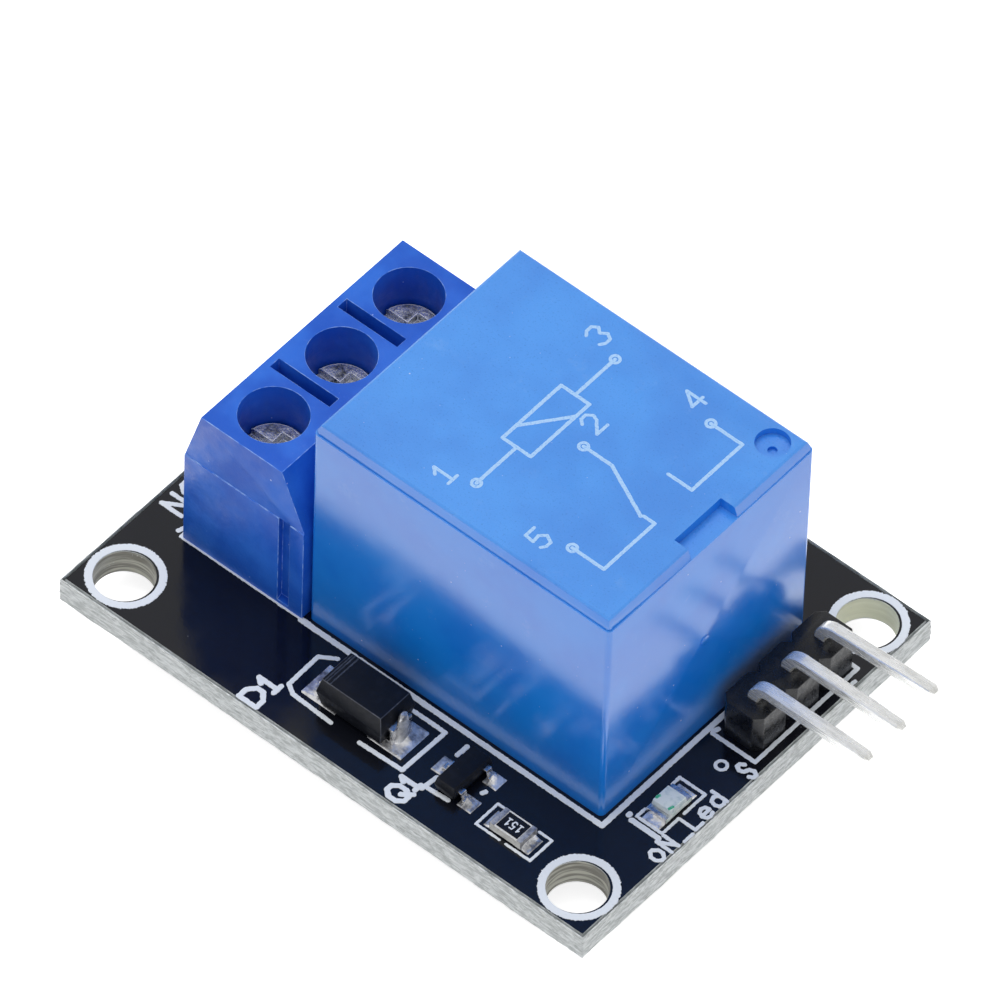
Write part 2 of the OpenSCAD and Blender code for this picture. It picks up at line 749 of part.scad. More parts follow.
module header_body() {
  cell = [
    [-header_w / 2, -pin_pitch / 2 + header_cut], [-header_w / 2 + header_cut, -pin_pitch / 2],
    [header_w / 2 - header_cut, -pin_pitch / 2], [header_w / 2, -pin_pitch / 2 + header_cut],
    [header_w / 2, pin_pitch / 2 - header_cut], [header_w / 2 - header_cut, pin_pitch / 2],
    [-header_w / 2 + header_cut, pin_pitch / 2], [-header_w / 2, pin_pitch / 2 - header_cut]
  ];
  color([0.10, 0.10, 0.11]) on_board() difference() {
    for (i = [0 : header_pins - 1])
      translate([header_x, pin_row_y(i), 0]) linear_extrude(header_h) polygon(cell);
    for (i = [0 : header_pins - 1])
      translate([header_x, pin_row_y(i), -eps]) plate(pin_s, pin_s, header_h + 2 * eps);
  }
}

// A square pin: up through the body, round a bend and out past the edge
module header_pin(i) {
  bend_x = header_x + pin_s / 2 + pin_bend_r;
  bend_z = board_t + header_h;
  run = pin_tip_x - bend_x;
  color([0.82, 0.81, 0.78]) translate([0, pin_row_y(i), 0]) {
    translate([header_x, 0, -lead_tail]) plate(pin_s, pin_s, lead_tail + bend_z);
    translate([bend_x, 0, bend_z]) rotate([0, -pin_lift[i], 0]) pin_run(run);
    translate([bend_x, 0, bend_z])
      side_extrude(pin_s) ring_sector(pin_bend_r, pin_bend_r + pin_s, 90 - pin_lift[i]);
  }
}

// The straight run of a pin along +X from the bend's end, tapered at its tip
module pin_run(run) {
  z0 = pin_bend_r;
  taper_l = 0.5;
  taper_in = 0.14;
  intersection() {
    side_extrude(pin_s) polygon([
      [0, z0], [run - taper_l, z0], [run, z0 + taper_in],
      [run, z0 + pin_s - taper_in], [run - taper_l, z0 + pin_s], [0, z0 + pin_s]
    ]);
    translate([0, 0, z0 - eps]) linear_extrude(pin_s + 2 * eps) polygon([
      [0, -pin_s / 2], [run - taper_l, -pin_s / 2], [run, -pin_s / 2 + taper_in],
      [run, pin_s / 2 - taper_in], [run - taper_l, pin_s / 2], [0, pin_s / 2]
    ]);
  }
}

// ----------------------------------------------------------- surface parts

module at_diode() { translate([diode_x, row_y, board_t]) children(); }

module diode_body() {
  color([0.10, 0.10, 0.11]) at_diode() difference() {
    profiled_block(diode_l, diode_w,
      [[diode_lift, diode_draft], [diode_mid, 0], [diode_mid + diode_waist, 0],
        [diode_h, diode_draft]]);
    // The leads leave the body at its waist and fold under it
    for (s = [0, 1]) rotate(180 * s) diode_lead();
  }
}

// A flat lead: out at the waist, down the end and back under the body
module diode_lead() {
  x0 = diode_l / 2 - diode_lead_in;
  x1 = diode_l / 2 + diode_lead_out;
  x2 = x1 - diode_lead_t;
  fold_x = diode_l / 2 - diode_fold;
  fold_z = pad_t + diode_lead_t;
  side_extrude(diode_lead_w) polygon([
    [x0, diode_mid], [x1, diode_mid], [x1, pad_t], [fold_x, pad_t], [fold_x, fold_z],
    [x2, fold_z], [x2, diode_mid - diode_lead_t], [x0, diode_mid - diode_lead_t]
  ]);
}

module diode_leads() {
  color([0.80, 0.79, 0.77]) at_diode() for (s = [0, 1]) rotate(180 * s) diode_lead();
}

module at_transistor() { translate([transistor_x, row_y, board_t]) children(); }

module transistor_body() {
  color([0.10, 0.10, 0.11]) at_transistor() difference() {
    profiled_block(transistor_w, transistor_l,
      [[transistor_lift, transistor_draft], [transistor_mid, 0],
        [transistor_mid + transistor_waist, 0], [transistor_h, transistor_draft]]);
    for (p = transistor_legs) translate([0, p[1], 0]) transistor_leg(p[0]);
  }
}

// A gull wing leg on side s: out at the waist, down and out along its pad
module transistor_leg(s) {
  x = transistor_w / 2;
  t = leg_t_small;
  rotate(s > 0 ? 0 : 180) side_extrude(leg_w_small) polygon([
    [x - leg_in, transistor_mid + t], [x + leg_knee + t / 2, transistor_mid + t],
    [x + leg_ankle + t / 2, pad_t + t], [x + leg_toe, pad_t + t], [x + leg_toe, pad_t],
    [x + leg_ankle, pad_t], [x + leg_knee, transistor_mid], [x - leg_in, transistor_mid]
  ]);
}

module transistor_leads() {
  color([0.80, 0.79, 0.77]) at_transistor()
    for (p = transistor_legs) translate([0, p[1], 0]) transistor_leg(p[0]);
}

module at_chip() { translate([chip_x, chip_y, board_t + pad_t]) children(); }

module resistor_body() {
  color([0.93, 0.92, 0.88]) at_chip() translate([0, 0, cap_t])
    plate(chip_l - 2 * cap_t, chip_w, chip_h - cap_t);
}

module resistor_film() {
  color([0.08, 0.08, 0.09]) at_chip() translate([0, 0, chip_h])
    plate(chip_l - 2 * cap_l + cap_lip, chip_w - 2 * cap_lip, film_t);
}

module resistor_caps() {
  color([0.80, 0.79, 0.77]) at_chip() for (s = [0, 1]) rotate(180 * s)
    side_extrude(chip_w) polygon([
      [chip_l / 2 - cap_l, 0], [chip_l / 2, 0], [chip_l / 2, chip_h + cap_t],
      [chip_l / 2 - cap_l + cap_lip, chip_h + cap_t], [chip_l / 2 - cap_l + cap_lip, chip_h],
      [chip_l / 2 - cap_t, chip_h], [chip_l / 2 - cap_t, cap_t], [chip_l / 2 - cap_l, cap_t]
    ]);
}

module at_led() { translate([led_x, led_y, board_t + pad_t]) rotate(90) children(); }

module led_base() {
  color([0.90, 0.92, 0.88]) at_led() translate([0, 0, led_contact_t])
    plate(led_l - 2 * led_contact_t, led_w, led_base_t - led_contact_t);
}

module led_contacts() {
  z1 = led_base_t + led_contact_t;
  color([0.82, 0.81, 0.76]) at_led() for (s = [0, 1]) rotate(180 * s)
    side_extrude(led_w) polygon([
      [led_l / 2 - led_contact_l, 0], [led_l / 2, 0], [led_l / 2, z1],
      [led_lens_l / 2, z1], [led_lens_l / 2, led_base_t],
      [led_l / 2 - led_contact_t, led_base_t], [led_l / 2 - led_contact_t, led_contact_t],
      [led_l / 2 - led_contact_l, led_contact_t]
    ]);
}

module led_chip() {
  color([0.85, 0.75, 0.30]) at_led() translate([0, 0, led_base_t])
    plate(led_chip_s, led_chip_s, led_chip_h);
}

module led_lens() {
  color([0.78, 0.88, 0.84, 0.6]) at_led() translate([0, 0, led_base_t]) difference() {
    profiled_block(led_lens_l, led_w, [[0, 0], [led_lens_h, lens_draft]]);
    translate([0, 0, -eps]) plate(led_chip_s, led_chip_s, led_chip_h + eps);
  }
}

// ------------------------------------------------------------------ solder

// A cone of solder below the board round a lead of size a by b
module solder_cone(x, y, a, b) {
  tip_d = norm([a, b]) + 0.16;
  translate([x, y, -solder_h]) difference() {
    cylinder(d1 = tip_d, d2 = solder_d, h = solder_h);
    translate([0, 0, -eps]) plate(a, b, solder_h + 2 * eps);
  }
}

solder_tint = [0.76, 0.76, 0.76];

module solder_terminal() {
  color(solder_tint) for (i = [0 : poles - 1]) solder_cone(leg_x, pole_y(i), leg_t, leg_w);
}

module solder_relay() {
  color(solder_tint) for (p = relay_leads())
    solder_cone(relay_x + p[0], relay_y + p[1], p[2], p[3]);
}

module solder_header() {
  color(solder_tint) for (i = [0 : header_pins - 1])
    solder_cone(header_x, pin_row_y(i), pin_s, pin_s);
}

// A film of solder on a pad and a hollow fillet up to height h. The pad runs
// along +X from 0 to l, and the part's end stands at x = foot.
module solder_fillet(l, w, foot, h) {
  steps = 6;
  run = l - foot;
  side_extrude(w) polygon(concat(
    [[0, 0], [l, 0]],
    [for (k = [0 : steps]) let (u = k / steps)
      [l - run * u, pad_t + (h - pad_t) * pow(u, 3)]],
    [[foot, pad_t], [0, pad_t]]));
}

module solder_surface() {
  diode_in = diode_l / 2 - diode_fold - pad_in;
  chip_inner = chip_l / 2 - cap_l - pad_in;
  led_inner = led_l / 2 - led_contact_l - pad_in;
  toe = leg_pad_l / 2;
  color(solder_tint) on_board() {
    translate([diode_x, row_y, 0]) for (s = [0, 1]) rotate(180 * s)
      translate([diode_in, 0, 0])
        solder_fillet(diode_pad_l / 2 - diode_in, diode_pad_w,
          diode_l / 2 + diode_lead_out - diode_in, diode_mid - diode_lead_t / 2);
    translate([transistor_x, row_y, 0]) for (p = transistor_legs)
      translate([0, p[1], 0]) rotate(p[0] > 0 ? 0 : 180)
        translate([transistor_w / 2 + leg_toe - toe, 0, 0])
          solder_fillet(leg_pad_l, leg_pad_w[p[0] > 0 ? 1 : 0], toe, pad_t + 2 * leg_t_small);
    translate([chip_x, chip_y, 0]) for (s = [0, 1]) rotate(180 * s)
      translate([chip_inner, 0, 0])
        solder_fillet(chip_pad_l, chip_w - pad_margin, chip_l / 2 - chip_inner, 0.8 * chip_h);
    translate([led_x, led_y, 0]) for (s = [0, 1]) rotate(90 + 180 * s)
      translate([led_inner, 0, 0])
        solder_fillet(led_pad_l, led_w - pad_margin, led_l / 2 - led_inner, 0.8 * led_base_t);
  }
}

circuit_board();
terminal_housing();
terminal_screw(0);  // terminal_screw_1
terminal_screw(1);  // terminal_screw_2
terminal_screw(2);  // terminal_screw_3
wire_clamp(0);  // wire_clamp_1
wire_clamp(1);  // wire_clamp_2
wire_clamp(2);  // wire_clamp_3
terminal_contact(0);  // terminal_contact_1
terminal_contact(1);  // terminal_contact_2
terminal_contact(2);  // terminal_contact_3
relay_cover();
relay_base();
coil_bobbin();
coil_winding();
magnet_core();
magnet_yoke();
armature();
leaf_spring();
moving_contact();
closed_contact();
open_contact();
common_terminal();
coil_pin(-1);  // coil_pin_1
coil_pin(1);  // coil_pin_2
header_body();
header_pin(0);  // header_pin_1
header_pin(1);  // header_pin_2
header_pin(2);  // header_pin_3
diode_body();
diode_leads();
transistor_body();
transistor_leads();
resistor_body();
resistor_film();
resistor_caps();
led_base();
led_contacts();
led_chip();
led_lens();
solder_terminal();
solder_relay();
solder_header();
solder_surface();
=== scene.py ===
"""Relay module board: the finishes, printed lines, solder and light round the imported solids.

The solids of the CAD frame keep their places. A dressed piece is a copy of one with its edges
eased, and stands for it. The printed lines, the board's broken edges and the solder are surfaces
worked out here. All lengths are in millimetres until they reach a mesh.
"""

import json

import bmesh
import bpy
import numpy as np
from mathutils import Matrix, Vector

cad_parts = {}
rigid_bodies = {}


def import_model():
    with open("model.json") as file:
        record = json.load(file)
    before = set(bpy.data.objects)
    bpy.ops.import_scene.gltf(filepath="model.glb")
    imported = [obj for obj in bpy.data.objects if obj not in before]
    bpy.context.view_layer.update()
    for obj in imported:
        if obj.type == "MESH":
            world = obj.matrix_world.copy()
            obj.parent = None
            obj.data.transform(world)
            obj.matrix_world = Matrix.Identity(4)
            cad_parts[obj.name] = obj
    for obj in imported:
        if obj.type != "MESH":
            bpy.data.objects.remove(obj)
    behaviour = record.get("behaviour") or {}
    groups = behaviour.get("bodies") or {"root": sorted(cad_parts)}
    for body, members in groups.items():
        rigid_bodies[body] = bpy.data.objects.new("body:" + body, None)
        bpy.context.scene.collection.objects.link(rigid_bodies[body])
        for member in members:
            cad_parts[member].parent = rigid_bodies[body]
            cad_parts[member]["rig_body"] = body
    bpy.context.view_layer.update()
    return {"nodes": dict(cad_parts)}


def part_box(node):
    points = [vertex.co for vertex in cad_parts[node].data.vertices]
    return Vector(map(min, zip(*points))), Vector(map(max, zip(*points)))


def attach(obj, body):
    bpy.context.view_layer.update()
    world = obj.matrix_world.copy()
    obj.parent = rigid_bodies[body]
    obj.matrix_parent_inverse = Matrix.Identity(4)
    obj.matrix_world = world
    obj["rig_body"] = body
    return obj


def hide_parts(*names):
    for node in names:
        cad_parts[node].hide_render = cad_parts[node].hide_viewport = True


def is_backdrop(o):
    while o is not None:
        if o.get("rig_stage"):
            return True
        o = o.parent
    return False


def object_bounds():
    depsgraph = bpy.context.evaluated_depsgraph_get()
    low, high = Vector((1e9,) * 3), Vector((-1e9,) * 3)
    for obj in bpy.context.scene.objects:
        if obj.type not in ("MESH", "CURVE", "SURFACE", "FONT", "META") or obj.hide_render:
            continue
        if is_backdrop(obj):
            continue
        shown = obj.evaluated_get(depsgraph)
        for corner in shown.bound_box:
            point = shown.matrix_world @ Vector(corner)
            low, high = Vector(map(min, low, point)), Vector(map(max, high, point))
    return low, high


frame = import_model()

MM = 0.001
SCENE = bpy.context.scene
RANGE = ("From Min", "From Max", "To Min", "To Max")
# The CAD's triangles meet in points that are this close, in metres
MERGE = 2e-7


# ---------------------------------------------------------------------------- places

def middle(node):
    """The middle of a CAD node's box, in millimetres."""
    low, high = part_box(node)
    return (np.array(low) + np.array(high)) / 2 / MM


def reach(node):
    """The lowest and highest corner of a CAD node's box, in millimetres."""
    low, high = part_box(node)
    return np.array(low) / MM, np.array(high) / MM


BOARD_LOW, BOARD_HIGH = reach("circuit_board")
BOARD_L, BOARD_W = (BOARD_HIGH - BOARD_LOW)[:2]
BOARD_TOP = BOARD_HIGH[2]
HOLE_INSET = 2.2
HOLE_R = 1.6
HOLES = [(sx * (BOARD_L / 2 - HOLE_INSET), sy * (BOARD_W / 2 - HOLE_INSET))
         for sx in (-1, 1) for sy in (-1, 1)]


# ---------------------------------------------------------------------------- meshes

def lattice(rows, columns, round_rows=False, round_columns=False):
    """Four-sided faces of a grid of points, joined up where a direction runs round."""
    row = np.arange(rows if round_rows else rows - 1)
    column = np.arange(columns if round_columns else columns - 1)
    r, c = np.meshgrid(row, column, indexing="ij")
    r2, c2 = (r + 1) % rows, (c + 1) % columns
    return np.stack([r * columns + c, r * columns + c2, r2 * columns + c2, r2 * columns + c],
                    axis=-1).reshape(-1, 4)


def piece(name, points, faces, finish, slot, body="board", smooth=True):
    """A mesh from an array of points in millimetres, which rides on a body."""
    mesh = bpy.data.meshes.new(name)
    mesh.from_pydata((np.asarray(points, float).reshape(-1, 3) * MM).tolist(), [],
                     [list(map(int, f)) for f in faces])
    mesh.update()
    mesh.shade_smooth() if smooth else mesh.shade_flat()
    mesh.materials.append(finish)
    made = linked(name, mesh)
    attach(made, body)
    return made


def together(parts):
    """One array of points and one list of faces from several pairs of them."""
    points, faces, first = [], [], 0
    for p, f in parts:
        p = np.asarray(p, float).reshape(-1, 3)
        points.append(p)
        faces.extend([[int(i) + first for i in face] for face in f])
        first += len(p)
    return np.concatenate(points), faces


def linked(name, data):
    """A new object in the scene."""
    made = bpy.data.objects.new(name, data)
    SCENE.collection.objects.link(made)
    return made


def dress(node, finish, edge, edge_highlight_finish):
    """A copy of a CAD node with its edges eased by a fine round, which stands for the node.

    Facets that meet at less than the flat angle are joined, and edges sharper than the edge
    angle are rounded, both in degrees. The rounds take the paler edge finish where one is given,
    which paints a highlight along the edges, and on the housing and the diode is partly wear.
    """
    flat_angle, edge_angle, turns = 0.6, 28, 3
    source = frame["nodes"][node]
    mesh = source.data.copy()
    mesh.name = node + "_dressed"
    work = bmesh.new()
    work.from_mesh(mesh)
    bmesh.ops.remove_doubles(work, verts=work.verts, dist=MERGE)
    bmesh.ops.dissolve_limit(work, angle_limit=np.radians(flat_angle), verts=work.verts,
                             edges=work.edges)
    work.to_mesh(mesh)
    work.free()
    mesh.materials.clear()
    mesh.materials.append(finish)
    if edge_highlight_finish:
        mesh.materials.append(edge_highlight_finish)
    mesh.shade_smooth()
    made = linked(node + "_dressed", mesh)
    bevel = made.modifiers.new("eased edges", "BEVEL")
    bevel.width = edge * MM
    bevel.segments = turns
    bevel.limit_method = "ANGLE"
    bevel.angle_limit = np.radians(edge_angle)
    bevel.harden_normals = True
    bevel.use_clamp_overlap = True
    bevel.material = 1 if edge_highlight_finish else -1
    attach(made, source["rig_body"])
    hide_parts(node)


# ---------------------------------------------------------------------------- finishes

def tone(red, green, blue):
    """A colour from its 0 to 255 screen values, as the shader wants it."""
    c = np.array([red, green, blue]) / 255
    lin = np.where(c <= 0.04045, c / 12.92, ((c + 0.055) / 1.055) ** 2.4)
    return (*lin.tolist(), 1.0)


def add_step(tree, kind, inputs=None, **settings):
    """A new node in a tree. Its inputs are other nodes' outputs or plain values."""
    node = tree.nodes.new(kind)
    for key, value in settings.items():
        setattr(node, key, value)
    for socket, source in (inputs or {}).items():
        if hasattr(source, "is_output"):
            tree.links.new(source, node.inputs[socket])
        else:
            node.inputs[socket].default_value = source
    return node


class Finish:
    """A surface finish under way. Patterns are sized in millimetres, on the piece's own place."""

    def __init__(self, name, colour, **settings):
        self.material = bpy.data.materials.new(name)
        self.material.use_nodes = True
        self.tree = self.material.node_tree
        self.shader = self.tree.nodes["Principled BSDF"]
        self.fix("Base Color", colour)
        for socket, value in settings.items():
            self.fix(socket.replace("_", " ").title().replace("Ior", "IOR"), value)
        place = self.step("ShaderNodeTexCoord").outputs["Object"]
        self.place = self.step("ShaderNodeVectorMath", {0: place, "Scale": 1 / MM},
                               operation="SCALE").outputs[0]
        self.slope = None

    def fix(self, socket, value):
        """A value that is the same all over, straight on the shader's socket."""
        self.shader.inputs[socket].default_value = value

    def step(self, kind, inputs=None, **settings):
        """A new node of a kind in the finish."""
        return add_step(self.tree, kind, inputs, **settings)

    def drive(self, socket, source):
        """A shader socket that varies over the surface."""
        self.tree.links.new(source, self.shader.inputs[socket])

    def stretched(self, stretch, turn=(0, 0, 0), shift=(0, 0, 0)):
        """The place with each direction squeezed or stretched."""
        return self.step("ShaderNodeMapping", {
            "Vector": self.place, "Location": shift, "Rotation": np.radians(turn),
            "Scale": [1 / s for s in stretch]}).outputs[0]

    def grain(self, size, detail=3, rough=0.55, stretch=(1, 1, 1), turn=(0, 0, 0),
              shift=(0, 0, 0)):
        """A cloudy value from 0 to 1 with lumps of a size."""
        return self.step("ShaderNodeTexNoise", {
            "Vector": self.stretched(stretch, turn, shift), "Scale": 1 / size,
            "Detail": detail, "Roughness": rough}).outputs["Fac"]

    def specks(self, size, radius, share, shift=(0, 0, 0)):
        """Small round spots on a share of the cells of a size: 1 in a spot, 0 outside."""
        place = self.stretched((1, 1, 1), shift=shift)
        cells = self.step("ShaderNodeTexVoronoi", {"Vector": place, "Scale": 1 / size})
        spot = self.between(cells.outputs["Distance"], radius, radius * 0.5)
        split = self.step("ShaderNodeSeparateColor", {0: cells.outputs["Color"]})
        chosen = self.between(split.outputs[0], share, share - 0.02)
        return self.sum("MULTIPLY", spot, chosen)

    def between(self, value, low, high, out_low=0.0, out_high=1.0):
        """A value carried smoothly from one range to another, and held at its ends."""
        limits = dict(zip(RANGE, (low, high, out_low, out_high)))
        return self.step("ShaderNodeMapRange", {"Value": value, **limits},
                         interpolation_type="SMOOTHSTEP").outputs[0]

    def sum(self, operation, a, b=0.0):
        """The outcome of one step of arithmetic."""
        return self.step("ShaderNodeMath", {0: a, 1: b}, operation=operation).outputs[0]

    def axes(self, source=None):
        """The three parts of a place or a direction."""
        return self.step("ShaderNodeSeparateXYZ", {0: source or self.place}).outputs

    def facing(self):
        """The three parts of the surface's own direction."""
        return self.axes(self.step("ShaderNodeNewGeometry").outputs["True Normal"])

    def blend(self, share, a, b):
        """Two colours mixed by a share."""
        return self.step("ShaderNodeMix", {0: share, 6: a, 7: b},
                         data_type="RGBA").outputs[2]

    def relief(self, height, depth):
        """Raises the surface by a height from 0 to 1 times a depth."""
        below = {"Normal": self.slope} if self.slope else {}
        self.slope = self.step("ShaderNodeBump", {
            "Height": height, "Strength": 1, "Distance": depth * MM, **below}).outputs[0]

    def done(self, coat_too=False):
        """The finished material, with the relief on its surface and on its coat if it has one."""
        if self.slope:
            self.drive("Normal", self.slope)
            if coat_too:
                self.drive("Coat Normal", self.slope)
        return self.material


def fibre_colour(f):
    """Cut glass-fibre laminate: pale grey with short dark flecks that lie a little askew."""
    lie = dict(turn=(14, 14, 0))
    cloud = f.between(f.grain(0.3, 4, 0.65, stretch=(2.2, 2.2, 0.6), **lie), 0.35, 0.65)
    pale = f.blend(cloud, tone(176, 181, 181), tone(226, 230, 231))
    fleck = f.between(f.grain(0.2, 3, 0.6, stretch=(3, 3, 0.35), **lie), 0.56, 0.68, 0, 0.7)
    pale = f.blend(fleck, pale, tone(126, 131, 130))
    glint = f.between(f.grain(0.15, 3, 0.6, stretch=(2, 2, 0.4), shift=(3, 7, 1), **lie), 0.6,
                      0.7, 0, 0.8)
    return f.blend(glint, pale, tone(244, 246, 246))


def board_finish():
    """Gloss black solder mask, which stops a little short of the board's broken edge."""
    strip = 0.06
    f = Finish("solder mask", tone(14, 16, 24), roughness=0.12, ior=1.5)
    x, y = f.axes()[:2]
    wander = f.between(f.grain(0.25, 3), 0.3, 0.7, -0.02, 0.02)
    beyond_x = f.sum("SUBTRACT", f.sum("ABSOLUTE", x), BOARD_L / 2 - strip)
    beyond_y = f.sum("SUBTRACT", f.sum("ABSOLUTE", y), BOARD_W / 2 - strip)
    edge = f.sum("ADD", f.sum("MAXIMUM", beyond_x, beyond_y), wander)
    side = f.between(f.sum("ABSOLUTE", f.facing()[2]), 0.6, 0.4)
    bare = f.sum("MAXIMUM", f.between(edge, -0.01, 0.01), side)
    dust = f.sum("MULTIPLY", f.specks(0.9, 0.035, 0.35), 0.6)
    mask = f.blend(f.between(f.grain(4, 3), 0.45, 0.75, 0, 0.6), tone(13, 15, 23),
                   tone(19, 21, 28))
    mask = f.blend(f.between(f.grain(0.5, 4, 0.7), 0.62, 0.8, 0, 0.5), mask, tone(34, 37, 46))
    mask = f.blend(dust, mask, tone(150, 154, 162))
    f.drive("Base Color", f.blend(bare, mask, fibre_colour(f)))
    f.drive("Roughness", f.sum("MAXIMUM", f.between(f.grain(1.4, 4), 0.3, 0.7, 0.08, 0.2),
                               f.sum("MULTIPLY", bare, 0.6)))
    f.relief(f.grain(0.16, 3, 0.6), 0.0025)
    f.relief(f.grain(1.6, 2), 0.006)
    return f.done()


def fibre_finish():
    """The board's broken edge."""
    f = Finish("cut laminate", tone(210, 213, 212), roughness=0.5, ior=1.5)
    f.drive("Base Color", fibre_colour(f))
    f.relief(f.grain(0.22, 4, 0.65, stretch=(3, 3, 0.35), turn=(9, 9, 0)), 0.04)
    f.relief(f.grain(0.09, 3, 0.6), 0.012)
    return f.done()


def drilled_finish(name, dark, pale, layered):
    """A drilled wall: layers of cloth ends, more or less smeared over by the drill."""
    f = Finish(name, tone(*pale), roughness=0.5, ior=1.5)
    layers = f.grain(0.9, 3, 0.6, stretch=(4, 4, 0.16))
    lines = f.between(layers, 0.4, 0.6, 1 - layered, 1)
    f.drive("Base Color", f.blend(lines, tone(*dark), tone(*pale)))
    f.relief(layers, 0.06 * layered)
    f.relief(f.grain(0.1, 3, 0.6), 0.012)
    return f.done()


def silk_finish():
    """Printed white ink: a little rough, thinner in places."""
    f = Finish("printed ink", tone(222, 228, 236), roughness=0.5, ior=1.45,
               specular_ior_level=0.25)
    thin = f.between(f.grain(0.12, 3, 0.6), 0.2, 0.45, 0.2, 0)
    f.drive("Base Color", f.blend(thin, tone(222, 228, 236), tone(166, 174, 186)))
    f.relief(f.grain(0.06, 2), 0.004)
    return f.done()


def pale_ink_finish():
    """Pad-printed pale ink on the cover."""
    f = Finish("cover ink", tone(166, 202, 240), roughness=0.45, ior=1.45)
    thin = f.between(f.grain(0.1, 3, 0.6), 0.25, 0.55, 0.7, 0)
    f.drive("Base Color", f.blend(thin, tone(168, 204, 242), tone(84, 152, 230)))
    return f.done()


def cover_finish():
    """Moulded blue nylon: polished sides with fine specks, and a spark-eroded top. The top's paler
    colour is painted sheen, the darker spots in its pits are painted shade, and the pale smears
    are painted reflections.
    """
    f = Finish("blue cover", tone(20, 122, 222), roughness=0.5, specular_ior_level=0.0,
               coat_weight=1.0, coat_roughness=0.2, coat_ior=1.82)
    top = f.between(f.facing()[2], 0.7, 0.9)
    cloud = f.between(f.grain(5, 3), 0.3, 0.7)
    body = f.blend(cloud, tone(12, 116, 220), tone(22, 130, 230))
    # The top's paler colour is painted sheen: the top and the sides are one plastic.
    face = f.blend(cloud, tone(52, 132, 222), tone(62, 146, 234))
    body = f.blend(top, body, face)
    # Darker spots in the top's pits are painted shade.
    pit_shade = f.sum("MULTIPLY", f.between(f.grain(0.11, 3, 0.6), 0.56, 0.68), top)
    body = f.blend(f.sum("MULTIPLY", pit_shade, 0.35), body, tone(8, 92, 184))
    # Pale smears are painted reflections.
    reflection_smear = f.between(f.grain(1.8, 5, 0.7), 0.58, 0.8, 0, 0.22)
    body = f.blend(reflection_smear, body, tone(120, 170, 230))
    for size, radius, share, weight, aside in ((0.45, 0.07, 0.2, 0.55, 0),
                                               (1.1, 0.05, 0.4, 0.9, 5)):
        dust = f.specks(size, radius, share, shift=(aside, 0, 0))
        body = f.blend(f.sum("MULTIPLY", dust, weight), body, tone(176, 206, 242))
    f.drive("Base Color", body)
    f.drive("Roughness", f.sum("ADD", f.between(f.grain(1.2, 4), 0.3, 0.7, 0.38, 0.46),
                               f.sum("MULTIPLY", top, 0.1)))
    f.relief(f.sum("MULTIPLY", f.grain(0.13, 3, 0.6), top), 0.014)
    f.relief(f.grain(0.09, 2), 0.0012)
    f.relief(f.grain(2.4, 4, 0.6), 0.012)
    return f.done(coat_too=True)


def housing_finish(name, deep, bright, coat, patch=3):
    """Moulded royal blue terminal plastic with scuffs, dust and a few sink marks."""
    f = Finish(name, tone(*deep), roughness=0.36, ior=1.36, coat_weight=coat,
               coat_roughness=0.24)
    cloud = f.between(f.grain(patch, 3), 0.35, 0.7)
    body = f.blend(cloud, tone(*deep), tone(*bright))
    scuff = f.between(f.grain(0.5, 5, 0.7, stretch=(1, 1, 2)), 0.6, 0.75, 0, 0.25)
    body = f.blend(scuff, body, tone(92, 132, 220))
    for size, radius, share, weight in ((0.7, 0.07, 0.3, 0.6), (1.5, 0.05, 0.5, 0.9)):
        body = f.blend(f.sum("MULTIPLY", f.specks(size, radius, share), weight), body,
                       tone(190, 208, 244))
    f.drive("Base Color", body)
    f.drive("Roughness", f.between(f.grain(0.8, 4), 0.3, 0.75, 0.28, 0.5))
    f.relief(f.grain(0.12, 3, 0.6), 0.004)
    f.relief(f.grain(0.9, 4, 0.7), 0.03)
    return f.done(coat_too=True)


def base_finish():
    """The relay's own floor."""
    f = Finish("blue base", tone(30, 90, 180), roughness=0.4, ior=1.5)
    f.drive("Base Color", f.blend(f.between(f.grain(2, 3), 0.3, 0.7), tone(26, 82, 168),
                                  tone(36, 98, 190)))
    f.relief(f.grain(0.1, 3), 0.005)
    return f.done()


def black_finish(name, colour, dusty, rough, grain, gloss=0.5):
    """Black moulded plastic or epoxy, dulled by dust and the mould's grain."""
    f = Finish(name, tone(*colour), roughness=rough, ior=1.5, specular_ior_level=gloss)
    body = f.blend(f.between(f.grain(0.5, 4, 0.6), 0.45, 0.8, 0, 0.7), tone(*colour),
                   tone(*dusty))
    f.drive("Base Color", f.blend(f.sum("MULTIPLY", f.specks(0.35, 0.07, 0.25), 0.4), body,
                                  tone(128, 128, 132)))
    f.drive("Roughness", f.between(f.grain(0.3, 3), 0.3, 0.7, rough - 0.08, rough + 0.1))
    f.relief(f.grain(0.07, 3, 0.6), grain)
    return f.done()


def metal_finish(name, bright, dull, rough, lay=(1, 1, 1), size=0.4, depth=0.003, metallic=1.0):
    """Plated or tinned metal, with a lay of fine marks and duller patches."""
    f = Finish(name, tone(*bright), metallic=metallic, roughness=rough)
    patches = f.between(f.grain(size, 4, 0.6, stretch=lay), 0.4, 0.72)
    f.drive("Base Color", f.blend(patches, tone(*bright), tone(*dull)))
    f.drive("Roughness", f.between(f.grain(size * 0.6, 3, stretch=lay), 0.3, 0.7,
                                   rough * 0.7, rough * 1.4))
    f.relief(f.grain(size * 0.25, 3, 0.6, stretch=lay), depth)
    return f.done()


def winding_finish():
    """Enamelled copper wire: fine turns round the coil's upright axis."""
    f = Finish("copper wire", tone(196, 112, 60), metallic=1.0, roughness=0.3)
    wave = f.step("ShaderNodeTexWave", {"Vector": f.place, "Scale": 2.2, "Distortion": 0.4},
                  wave_type="BANDS", bands_direction="Z").outputs["Fac"]
    f.drive("Base Color", f.blend(wave, tone(150, 76, 40), tone(214, 132, 78)))
    f.relief(wave, 0.03)
    return f.done()


